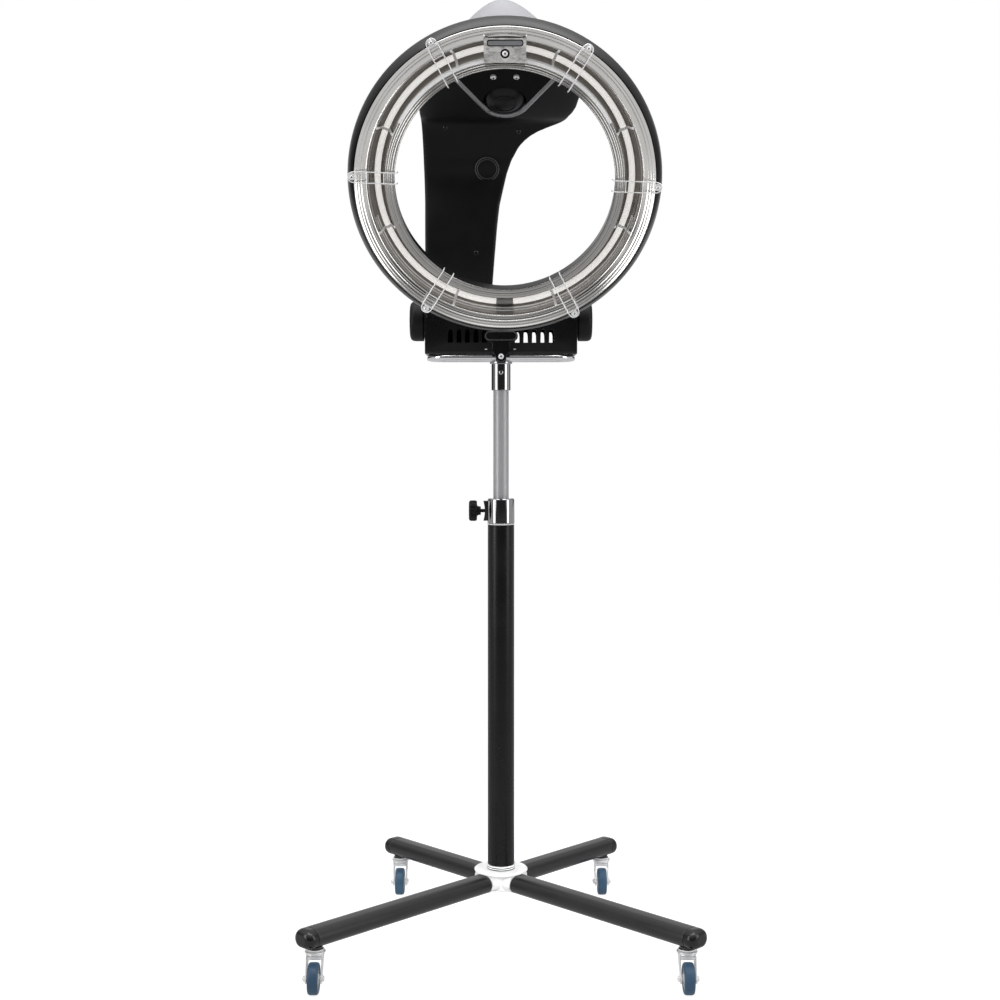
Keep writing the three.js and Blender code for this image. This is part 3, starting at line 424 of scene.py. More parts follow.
class PROCESSOR_sizes(bpy.types.PropertyGroup):
    """Sizes of the pieces that only the visual model has."""
    screw: bpy.props.FloatProperty(
        name="Screw radius", description="Radius of the small pan screws, in millimetres",
        default=4.4, min=1, max=8)
    clip_count: bpy.props.IntProperty(
        name="Lamp clips", description="Clips that hold the lamp tubes", default=8, min=2, max=16)
    edge: bpy.props.FloatProperty(
        name="Edge", description="Rounding of moulded edges, in millimetres", default=1.2, min=0.1, max=4)


class PROCESSOR_OT_finishes(bpy.types.Operator):
    """Make the finishes and dress the solids that stay in view"""
    bl_idname = "processor.finishes"
    bl_label = "Finishes"

    def execute(self, context):
        tint = context.scene.processor_finishes
        black = tuple(tint.black)
        paint("black_powder", black, 0.25, (0.22, 0.34), 900, 0.00004, specular=0.27)
        # A lighter copy of the black for the legs: painted light, standing in for their lit tops.
        paint("leg_coat", tuple(part * 1.3 for part in black), 0.15, (0.28, 0.36), 1100, 0.00003,
              specular=0.6)
        paint("shell_coat", black, 0.15, (0.28, 0.36), 700, 0.00003, specular=0.24)
        paint("eggshell", black, 0.2, (0.24, 0.32), 1200, 0.00004, specular=0.36)
        paint("black_moulded", black, 0.2, (0.42, 0.56), 1400, 0.00005, specular=0.22)
        paint("black_satin", black, 0.2, (0.2, 0.28), 700, 0.00003, specular=0.5)
        paint("black_gloss", black, 0.15, (0.14, 0.22), 300, 0.00002, coat=0.6)
        # A darker, duller copy of the black: painted shade for recesses, gaps, the housing's inside and parts
        # under the arm and ring.
        paint("dark_inside", tuple(part * 0.6 for part in black), 0.2, (0.7, 0.85), 600, 0.00006,
              specular=0.15)
        paint("chrome_plate", tuple(tint.chrome), 0.03, (0.04, 0.09), 60, 0.00001, 1.0, specular=0.5)
        paint("smoked_chrome", tuple(part * 0.5 for part in tint.chrome), 0.03, (0.05, 0.1), 60, 0.00001, 1.0)
        paint("pale_plate", (0.98, 0.98, 0.98), 0.02, (0.3, 0.42), 300, 0.00002, 0.1)
        paint("satin_chrome", tuple(part * 0.52 for part in tint.chrome), 0.04, (0.34, 0.42), 500, 0.00002,
              0.3, stretch=(1, 1, 0.02))
        paint("bright_reflector", tuple(tint.reflector), 0.05, (0.12, 0.19), 40, 0.00004, 1.0)
        paint("bright_zinc", (0.93, 0.93, 0.94), 0.04, (0.24, 0.34), 260, 0.00003, 0.4)
        paint("mill_steel", (0.36, 0.37, 0.38), 0.12, (0.34, 0.46), 320, 0.00004, 1.0)
        paint("silver_lacquer", tuple(tint.silver), 0.04, (0.58, 0.66), 2600, 0.00003, 0.12)
        paint("blue_tread", tuple(tint.tread), 0.16, (0.4, 0.55), 500, 0.00008, specular=0.4)
        paint("pale_core", (0.66, 0.67, 0.68), 0.05, (0.35, 0.5), 400, 0.00005)
        paint("white_moulded", (0.78, 0.78, 0.77), 0.04, (0.4, 0.5), 400, 0.00004)
        paint("ceramic_end", (0.34, 0.33, 0.32), 0.15, (0.4, 0.55), 300, 0.00004)
        # Grey metal for the yoke's painted edge highlight.
        paint("edge_grey", (0.3, 0.3, 0.31), 0.1, (0.24, 0.32), 400, 0.00003, 0.7)
        # Dark grey for the badge's printed ring and for the lever's painted edge highlight.
        paint("printed_grey", (0.05, 0.05, 0.052), 0.1, (0.4, 0.5), 500, 0.00002)
        # Dark warm metal for the reflector's deep channel walls: painted shade for the shade deep in the
        # channel.
        paint("channel_shade", (0.275, 0.255, 0.238), 0.05, (0.26, 0.34), 60, 0.00003, 0.5)
        # A darker copy of the reflector for the inner flange: painted shade.
        paint("dull_reflector", tuple(part * 0.55 for part in tint.reflector), 0.05, (0.16, 0.24), 40,
              0.00004, 1.0)
        paint("crumpled_foil", (0.8, 0.79, 0.77), 0.25, (0.1, 0.2), 70, 0.0016, 1.0, patch_scale=60.0)
        paint("panel_film", (0.045, 0.047, 0.055), 0.1, (0.2, 0.3), 600, 0.00002, coat=0.3)
        paint("panel_key", (0.34, 0.35, 0.38), 0.06, (0.35, 0.45), 500, 0.00003)
        paint("panel_window", (0.01, 0.015, 0.014), 0.1, (0.05, 0.1), 200, 0.00001, coat=0.8)
        tree, glass = shader("lamp_tube")
        glass.inputs["Base Color"].default_value = (0.96, 0.955, 0.94, 1)
        glass.inputs["Transmission Weight"].default_value = 0.12
        glass.inputs["Coat Weight"].default_value = 1.0
        # The emission is painted light: a glow standing in for studio light that the tubes reflect.
        glass.inputs["Emission Color"].default_value = (1.0, 0.98, 0.95, 1)
        glass.inputs["Emission Strength"].default_value = 0.42
        glass.inputs["IOR"].default_value = 1.45
        smear = noise(tree, 30, 3.0)
        tree.links.new(spread(tree, smear, 0.02, 0.12), glass.inputs["Roughness"])
        paint("filament", (0.5, 0.46, 0.42), 0.1, (0.3, 0.4), 200, 0.00002, 1.0)
        kept = {"tilt_shaft": "mill_steel", "arm_spine": "mill_steel", "orbit_motor": "mill_steel",
                "post_glide": "white_moulded"}
        for node, finish in kept.items():
            solid = frame["nodes"][node]
            solid.data.materials.clear()
            solid.data.materials.append(bpy.data.materials[finish])
        return {"FINISHED"}


def leg_place(side):
    """Frame of a leg: local X runs out along it, local Z is up."""
    front = side.startswith("front")
    left = side.endswith("left")
    turn = LEG_ANGLE if left == front else -LEG_ANGLE
    if left:
        turn += math.pi
    return COLUMN @ Matrix.Translation((0, 0, LEG_MIDDLE)) @ Matrix.Rotation(turn, 4, "Z")


class PROCESSOR_OT_base(bpy.types.Operator):
    """Hub plate, legs and end caps"""
    bl_idname = "processor.base"
    bl_label = "Base"

    def execute(self, context):
        bm = bmesh.new()
        turned(bm, [(0, 71), (32.6, 71), (34, 72.4), (34, 97), (36, 101.3), (46.8, 101.3), (48, 102.4),
                    (48, 104), (46.6, 105.3), (34, 105.3), (33, 105), (0, 105)], 96)
        for side in CASTERS:
            turn = leg_place(side).to_euler().z
            spigot = oval(LEG_HALF_WIDTH - SPIGOT_INSET, LEG_HALF_HEIGHT - SPIGOT_INSET)
            collar = oval(LEG_HALF_WIDTH + 1.2, LEG_HALF_HEIGHT - 0.1)
            before = set(bm.verts)
            lofted(bm, [[(x, y, z + LEG_MIDDLE) for y, z in outline] for x, outline in
                        ((20, spigot), (LEG_ROOT + SPIGOT_LENGTH, spigot))])
            lofted(bm, [[(x, y, z + LEG_MIDDLE) for y, z in outline] for x, outline in
                        ((26, collar), (LEG_ROOT - 0.6, collar))])
            fresh = [vert for vert in bm.verts if vert not in before]
            bmesh.ops.transform(bm, matrix=Matrix.Rotation(turn, 4, "Z"), verts=fresh)
        finish_piece("hub_plate", bm, COLUMN, "base", ("pale_plate",), ["base_hub"])
        for side in CASTERS:
            self.leg(side)
        return {"FINISHED"}

    def leg(self, side):
        reach = LEG_REACH[side.split("_")[0]]
        seam = reach - CAP_LENGTH
        section = oval(LEG_HALF_WIDTH, LEG_HALF_HEIGHT)
        bm = bmesh.new()
        spans = [(LEG_ROOT, 0.965), (LEG_ROOT + 0.8, 1.0), (seam - 0.9, 1.0), (seam, 0.97)]
        lofted(bm, [[(x, y * share, z * share) for y, z in section] for x, share in spans])
        finish_piece("leg_tube_" + side, bm, leg_place(side), "base", ("leg_coat",),
                     ["leg_" + side])
        bm = bmesh.new()
        rings = [(seam + 0.3, 0.8), (seam + 1.3, 0.0)]
        rings += [(reach - CAP_ROUND + CAP_ROUND * math.sin(a), CAP_ROUND * (1 - math.cos(a)))
                  for a in (math.pi / 2 * k / 12 for k in range(13))]
        lofted(bm, [[(x, y, z) for y, z in oval(LEG_HALF_WIDTH - inset, LEG_HALF_HEIGHT - CAP_BLUNT * inset)]
                    for x, inset in rings])
        finish_piece("leg_nose_" + side, bm, leg_place(side), "base", ("black_satin",),
                     ["leg_cap_" + side])


class PROCESSOR_OT_casters(bpy.types.Operator):
    """Swivel casters: raceway, fork, axle and wheel"""
    bl_idname = "processor.casters"
    bl_label = "Casters"

    def execute(self, context):
        for side in CASTERS:
            spot = joint_place("caster_swivel_" + side)
            place = Matrix.Translation((spot.x, spot.y, 0)) @ SCALE
            self.raceway(side, place)
            self.fork(side, place)
            self.axle(side, place)
            self.wheel(side, place)
        return {"FINISHED"}

    def raceway(self, side, place):
        bm = bmesh.new()
        base = DISH_TOP
        turned(bm, [(0, base - 9.9), (7.4, base - 9.9), (7.4, base - 7.4), (5, base - 7.4), (5, base + 0.3),
                    (13, base + 0.3), (14, base + 1.2), (14, base + 3.4), (12, base + 4.4),
                    (12, base + 7.3), (0, base + 7.3)], 40)
        for face in bm.faces:
            face.material_index = int(face.calc_center_median().z < base + 3.6)
        finish_piece("raceway_" + side, bm, place, "base", ("black_gloss", "bright_zinc"),
                     ["caster_stem_" + side], round_by=0.4)

    def fork(self, side, place):
        bm = bmesh.new()
        lips = [(5.4, -7), (12, -7), (14.6, -6), (15.6, -4.6), (15.6, -3.8), (14.8, -3.2), (16.4, -2.6),
                (17, -1.8), (17, -0.8), (16.2, 0), (5.4, 0)]
        turned(bm, [(radius, DISH_TOP + drop) for radius, drop in lips], 48, closed=True)
        bow = [(12, DISH_TOP - 5), (10.5, DISH_TOP - 13)]
        bow += [(-TRAIL + 8 * math.cos(a), WHEEL_RADIUS + 8 * math.sin(a))
                for a in (-math.pi * k / 10 for k in range(11))]
        bow += [(-15, 44), (-12.5, DISH_TOP - 5)]
        for low, high in ((-CHEEK_OUTSIDE, -CHEEK_INSIDE), (CHEEK_INSIDE, CHEEK_OUTSIDE)):
            plate(bm, bow, low, high, SIDEWAYS)
        plate(bm, rounded_box(12, 2, 0.8), 51.8, DISH_TOP - 6.8, Matrix.Translation((0, -11, 0)))
        finish_piece("fork_plate_" + side, bm, place, "fork_" + side, ("bright_zinc",),
                     ["caster_fork_" + side], round_by=0.5)

    def axle(self, side, place):
        bm = bmesh.new()
        seat = Matrix.Translation((0, -TRAIL, WHEEL_RADIUS)) @ TO_X
        turned(bm, [(0, -13.9), (2.9, -13.9), (2.9, 13.9), (0, 13.9)], 20, place=seat)
        plate(bm, disc(NUT_RADIUS, 6), 13.8, 16.8, seat)
        plate(bm, disc(NUT_RADIUS, 6), -16.8, -13.8, seat)
        turned(bm, [(0, -18.3), (2, -18.3), (2.5, -17.8), (2.5, -16.6), (0, -16.6)], 20, place=seat)
        finish_piece("axle_bolt_" + side, bm, place, "fork_" + side, ("bright_zinc",),
                     ["caster_axle_" + side], round_by=0.3)

    def wheel(self, side, place):
        seat = Matrix.Translation((0, -TRAIL, WHEEL_RADIUS)) @ TO_X
        bm = bmesh.new()
        turned(bm, [(17, -7.6), (18, -8.5), (21.6, -8.5), (23.4, -7.8), (24.6, -6), (25, -3.6), (25, 3.6),
                    (24.6, 6), (23.4, 7.8), (21.6, 8.5), (18, 8.5), (17, 7.6)], 72, closed=True, place=seat)
        finish_piece("tread_" + side, bm, place, "wheel_" + side, ("blue_tread",),
                     ["caster_wheel_" + side])
        bm = bmesh.new()
        turned(bm, [(3.4, -10), (6.6, -10), (7.2, -9.4), (7.2, -5.2), (8.4, -4.4), (14.6, -4.4),
                    (15.8, -5.4), (16.2, -7.4), (17, -7.4), (17, 7.4), (16.2, 7.4), (15.8, 5.4),
                    (14.6, 4.4), (8.4, 4.4), (7.2, 5.2), (7.2, 9.4), (6.6, 10), (3.4, 10)], 56,
               closed=True, place=seat)
        finish_piece("wheel_core_" + side, bm, place, "wheel_" + side, ("pale_core",))


class PROCESSOR_OT_column(bpy.types.Operator):
    """Column tube, foot, bush, clamp collar, knob, post, sleeve and handle rail"""
    bl_idname = "processor.column"
    bl_label = "Column"

    def execute(self, context):
        self.tube()
        self.collar()
        self.knob()
        self.post(context.scene.processor_sizes.screw)
        self.rail()
        return {"FINISHED"}

    def tube(self):
        bm = bmesh.new()
        foot = HUB_TOP + 7.6
        turned(bm, [(22, foot), (23.6, foot), (24, foot + 0.5), (24, 725.4), (23.6, 726), (22, 726)], 80,
               closed=True)
        finish_piece("column_pipe", bm, COLUMN, "base", ("black_powder",), ["column_tube"])
        bm = bmesh.new()
        rings = [(0, 0.3), (25.2, 0.3), (25.2, 1.6), (25.5, 1.8), (25.5, 3.1), (24.9, 3.4), (24.3, 3.6),
                 (24.3, 4.7), (24.9, 4.9), (25.5, 5.2), (25.5, 6.8), (24.9, 7.3), (21.7, 7.3), (21.7, 50),
                 (0, 50)]
        turned(bm, [(radius, HUB_TOP + rise) for radius, rise in rings], 80)
        # The groove and the lowest band take the painted-shade black: painted shade in the groove and at the
        # foot.
        for face in bm.faces:
            rise = face.calc_center_median().z - HUB_TOP
            face.material_index = int(rise < 1.65 or 3.3 < rise < 4.95)
        finish_piece("foot_rings", bm, COLUMN, "base", ("pale_plate", "dark_inside"),
                     ["column_foot"])
        bm = bmesh.new()
        turned(bm, [(14.4, 688), (21.7, 688), (21.7, 726.3), (23.9, 726.3), (24.5, 726.9), (24.5, 728.2),
                    (24, 728.7), (14.4, 728.7)], 80, closed=True)
        finish_piece("guide_bush", bm, COLUMN, "base", ("white_moulded",),
                     ["column_bush"])

    def collar(self):
        bm = bmesh.new()
        turned(bm, [(14.4, 729), (24, 729), (24.5, 729.6), (24.5, 771.4), (24.1, 772.4), (22.6, 774),
                    (15.2, 774), (14.4, 773.2)], 80, closed=True)
        waist = []
        for k in range(25):
            height = -EAR_HALF + 2 * EAR_HALF * k / 24
            waist.append((-(29.4 + 2.6 * (abs(height) / EAR_HALF) ** 2), height))
        ear = [(-20, -EAR_HALF), *waist, (-20, EAR_HALF)]
        ears = Matrix.Translation((0, 0, CLAMP_HEIGHT)) @ TO_FRONT
        plate(bm, ear, -EAR_SIDE, -EAR_SLIT, ears)
        plate(bm, ear, EAR_SLIT, EAR_SIDE, ears)
        finish_piece("clamp_ring", bm, COLUMN, "base", ("smoked_chrome",), ["clamp_collar"],
                     round_by=0.5)

    def knob(self):
        bm = bmesh.new()
        count = 96
        spans = [(-58, 0.80), (-57.4, 0.90), (-56, 0.97), (-53.5, 1.0), (-47.5, 1.0), (-45, 0.975),
                 (-43.9, 0.93), (-43.5, 0.84), (-43.5, 0.62), (-42.4, 0.47), (-40, 0.43), (-37, 0.41),
                 (-36.5, 0.38), (-36.5, 0.17), (-14.6, 0.16)]
        rings = []
        for along, share in spans:
            depth = KNOB_DIP_DEPTH if share > 0.78 else 0
            ring = []
            for k in range(count):
                turn = 2 * math.pi * k / count
                dip = depth * max(0.0, math.cos(KNOB_DIPS * turn)) ** 3
                radius = KNOB_RADIUS * share - dip
                ring.append((along, radius * math.cos(turn), radius * math.sin(turn)))
            rings.append(ring)
        lofted(bm, rings)
        place = COLUMN @ Matrix.Translation((0, 0, CLAMP_HEIGHT))
        finish_piece("star_knob", bm, place, "knob", ("black_moulded",), ["clamp_knob"],
                     sharp=50)

    def post(self, screw):
        bm = bmesh.new()
        turned(bm, [(12.5, 400), (13.7, 400), (14, 400.4), (14, 1013.6), (13.6, 1014), (12.5, 1014)], 72,
               closed=True)
        finish_piece("inner_post", bm, COLUMN, "head", ("satin_chrome",), ["post_tube"])
        bm = bmesh.new()
        turned(bm, [(14.3, 969), (16.6, 969), (17.5, 969.8), (17.5, 1016.4), (17.9, 1017), (20, 1017.2),
                    (20.5, 1017.8), (20.5, 1020.4), (20, 1021), (15, 1021), (15, 1033), (12, 1033),
                    (12, 1046), (0, 1046), (0, 1015), (14.3, 1015)], 72, closed=True)
        pan_screw(bm, screw, Matrix.Translation((0, -17.6, 1001.2)) @ TO_FRONT)
        finish_piece("head_sleeve", bm, COLUMN, "head", ("smoked_chrome", "dark_inside"),
                     ["post_sleeve"])

    def rail(self):
        bm = bmesh.new()
        straight = RAIL_HALF - RAIL_DEPTH
        points = [(x * straight / 4, -RAIL_DEPTH, 0) for x in range(-4, 5)]
        points += [(straight + RAIL_DEPTH * math.cos(a), RAIL_DEPTH * math.sin(a), 0)
                   for a in (math.pi * (k / 12 - 0.5) for k in range(1, 12))]
        points += [(-x, -y, z) for x, y, z in points]
        rod(bm, points, RAIL_RADIUS, closed=True, sides=6, steps=6)
        place = COLUMN @ Matrix.Translation((0, 0, RAIL_MIDDLE - RAIL_DROP))
        finish_piece("grip_rail", bm, place, "head", ("chrome_plate",), ["handle_rail"])


def housing_outline(half_depth, foot, bottom):
    """Half of the housing's section in (y, z), from the foot up over the tilt axis."""
    points = [(-0.2, bottom), (-foot + 3, bottom), (-foot, bottom + 3), (-half_depth, HOUSING_BOTTOM + 26)]
    points += [(-half_depth * math.cos(a), TILT_AXIS + half_depth * math.sin(a))
               for a in (math.pi / 2 * k / 18 for k in range(18))]
    return points + [(-0.2, TILT_AXIS + half_depth)]


class PROCESSOR_OT_housing(bpy.types.Operator):
    """Vented housing, tilt caps, tilt lever and power inlet"""
    bl_idname = "processor.housing"
    bl_label = "Housing"

    def execute(self, context):
        edge = context.scene.processor_sizes.edge
        self.half("housing_shell_front", "housing_front", 1, edge)
        self.half("housing_shell_rear", "housing_rear", -1, edge)
        self.caps()
        self.shield()
        self.lever(edge)
        self.inlet()
        return {"FINISHED"}

    def half(self, name, node, flip, edge):
        outer = housing_outline(HOUSING_DEPTH, HOUSING_FOOT, HOUSING_BOTTOM)
        inner = housing_outline(HOUSING_DEPTH - HOUSING_WALL, HOUSING_FOOT - HOUSING_WALL,
                                HOUSING_BOTTOM + HOUSING_WALL)
        bm = bmesh.new()
        to_x = Matrix.Scale(flip, 4, (0, 1, 0)) @ SIDEWAYS
        plate(bm, outer, -HOUSING_HALF, HOUSING_HALF, to_x)
        shell = finish_piece(name, bm, COLUMN, "head", ("eggshell", "dark_inside"),
                             [node], round_by=edge, sharp=30)
        room = bmesh.new()
        inner = [(y if abs(y) > 1 else 5, z) for y, z in inner]
        plate(room, inner, -HOUSING_HALF + HOUSING_WALL, HOUSING_HALF - HOUSING_WALL, to_x)
        # The housing's inside takes slot 1, the painted-shade black.
        for face in room.faces:
            face.material_index = 1
        carved(shell, room, COLUMN)
        slots = bmesh.new()
        outline = [(-4.6, 0), (4.6, 0), (4.2, 17), (3.4, 21.5), (1.6, 23.8), (-1.6, 23.8), (-3.4, 21.5),
                   (-4.2, 17)]
        for side in (-1, 1):
            for k in range(VENT_COUNT):
                across = side * (VENT_START + VENT_PITCH * k)
                at = Matrix.Translation((across, 0, HOUSING_BOTTOM + VENT_FOOT))
                plate(slots, outline, -60, 60, at @ TO_FRONT)
        plate(slots, [(-133, TILT_AXIS + 2), (-12, TILT_AXIS + 2), (-12, TILT_AXIS + 60),
                      (-133, TILT_AXIS + 60)], -60, 60, TO_FRONT)
        for x in (-102, 102):
            hole = Matrix.Translation((x, -38.9 * flip, TILT_AXIS + 6)) @ TO_FRONT
            plate(slots, disc(2.6, 20), -4, 12, hole)
        shaft = TO_X.copy()
        shaft.translation = (0, 0, TILT_AXIS)
        plate(slots, disc(SHAFT_HOLE, 40), -HOUSING_HALF - 5, HOUSING_HALF + 5, shaft)
        carved(shell, slots, COLUMN)
        if flip == 1:
            bm = bmesh.new()
            plate(bm, rounded_box(9.5, 12, 5), -0.5, 7.1,
                  Matrix.Translation((0, -38.6, RAIL_MIDDLE + 2.6)) @ TO_FRONT)
            finish_piece("lever_lug", bm, COLUMN, "head", ("black_moulded",),
                         round_by=0.6)
            # A block inside the housing behind the left vents, in the painted-shade black.
            bm = bmesh.new()
            plate(bm, [(-108, 1040), (-20, 1040), (-20, 1082), (-108, 1082)], -14, 14, TO_FRONT)
            finish_piece("wiring_cover", bm, COLUMN, "head", ("dark_inside",),
                         round_by=2)

    def caps(self):
        for side, turn in (("right", 0), ("left", math.pi)):
            bm = bmesh.new()
            turned(bm, [(8.3, 136.4), (29, 136.4), (30, 137), (30, 139.2), (35, 139.3), (36, 140.2),
                        (36, 154), (35.6, 157.6), (34.4, 160.6), (32, 162.8), (28.6, 164), (20, 164.3),
                        (19, 163.9), (0, 163.6), (0, 153), (8.3, 153)], 80, closed=True)
            place = COLUMN @ Matrix.Translation((0, 0, TILT_AXIS)) @ Matrix.Rotation(turn, 4, "Z") @ TO_X
            finish_piece("tilt_knuckle_" + side, bm, place, "arm", ("black_moulded",),
                         ["tilt_cap_" + side])

    def shield(self):
        bm = bmesh.new()
        turns = [math.radians(-30 + 240 * k / 40) for k in range(41)]
        outline = [(radius * math.cos(turn), radius * math.sin(turn) + TILT_AXIS)
                   for radius, order in ((SHIELD_RADIUS, turns), (SHIELD_RADIUS - SHIELD_WALL, turns[::-1]))
                   for turn in order]
        plate(bm, outline, -131.5, -13.5, SIDEWAYS)
        # The shield under the arm's neck takes the painted-shade black.
        finish_piece("neck_shield", bm, COLUMN, "arm", ("dark_inside",))

    def lever(self, edge):
        front = Matrix.Translation((0, -LEVER_BACK, RAIL_MIDDLE)) @ TO_FRONT
        neck = [(9.5 * math.cos(a), 9.5 * math.sin(a)) for a in (math.pi * (1 + k / 14) for k in range(15))]
        right = [(16, 10), (16, 24)]
        right += [(20.5 + 9.5 * math.cos(a), 36.5 + 9.5 * math.sin(a))
                  for a in (math.radians(-62 + 152 * k / 12) for k in range(13))]
        left = [(-x, y) for x, y in reversed(right)]
        bm = bmesh.new()
        plate(bm, neck + right + left, 0, LEVER_THICKNESS, front)
        finish_piece("lock_lever", bm, COLUMN, "lever", ("eggshell",),
                     ["tilt_lever"], round_by=edge * 1.3)
        # A grey line round the lever's bar on its face: a painted highlight for its lit edge.
        bm = bmesh.new()
        rim = [(x, 36.5 + y, LEVER_THICKNESS + 0.1) for x, y in oval(27.4, 7.2, 10)]
        rod(bm, rim, 1.0, closed=True, sides=3, steps=3)
        finish_piece("lever_edge_highlight", bm, COLUMN @ front, "lever", ("printed_grey",))
        bm = bmesh.new()
        seat = Matrix.Translation((0, -LEVER_SCREW_FRONT, RAIL_MIDDLE)) @ TO_FRONT
        pan_screw(bm, 5, seat)
        turned(bm, [(0, -17), (2.5, -17), (2.5, 0), (0, 0)], 20, place=seat)
        finish_piece("pivot_screw", bm, COLUMN, "head", ("bright_zinc", "dark_inside"),
                     ["lever_screw"])
        bm = bmesh.new()
        for x in (-26.8, 24.6):
            mark = Matrix.Translation((x, -40.4, 1043)) @ TO_FRONT
            plate(bm, [(-2.2, -2.4), (2.2, -2.4), (2.2, -0.6), (-2.2, -0.6)], 0, 0.5, mark)
            plate(bm, [(-1.2, 0.2), (1.2, 0.2), (0, 3.4)], 0, 0.5, mark)
        finish_piece("lock_marks", bm, COLUMN, "head", ("white_moulded",))

    def inlet(self):
        back = Matrix.Translation((INLET_MIDDLE, INLET_BACK, TILT_AXIS))
        back = back @ Matrix.Rotation(-math.pi / 2, 4, "X")
        bm = bmesh.new()
        plate(bm, rounded_box(20, 13, 3), 0, 9, back)
        body = finish_piece("inlet_body", bm, COLUMN, "head", ("black_moulded", "dark_inside"),
                            ["power_inlet"], round_by=0.8)
        room = bmesh.new()
        plate(room, [(-13, -9), (13, -9), (13, 4), (8, 9), (-8, 9), (-13, 4)], 4, 12, back)
        carved(body, room, COLUMN)
        bm = bmesh.new()
        for x, y in ((-7, -2), (7, -2), (0, 3)):
            plate(bm, rounded_box(1, 2.2, 0.4, 2), 3.6, 8.4, back @ Matrix.Translation((x, y, 0)))
        finish_piece("inlet_pins", bm, COLUMN, "head", ("bright_zinc",))


def on_circle(radius, turn, depth, across=0.0):
    """Point of the ring's own frame: radius and turn in its plane, depth behind the rim."""
    return Vector((radius * math.cos(turn) - across * math.sin(turn),
                   radius * math.sin(turn) + across * math.cos(turn), -depth))


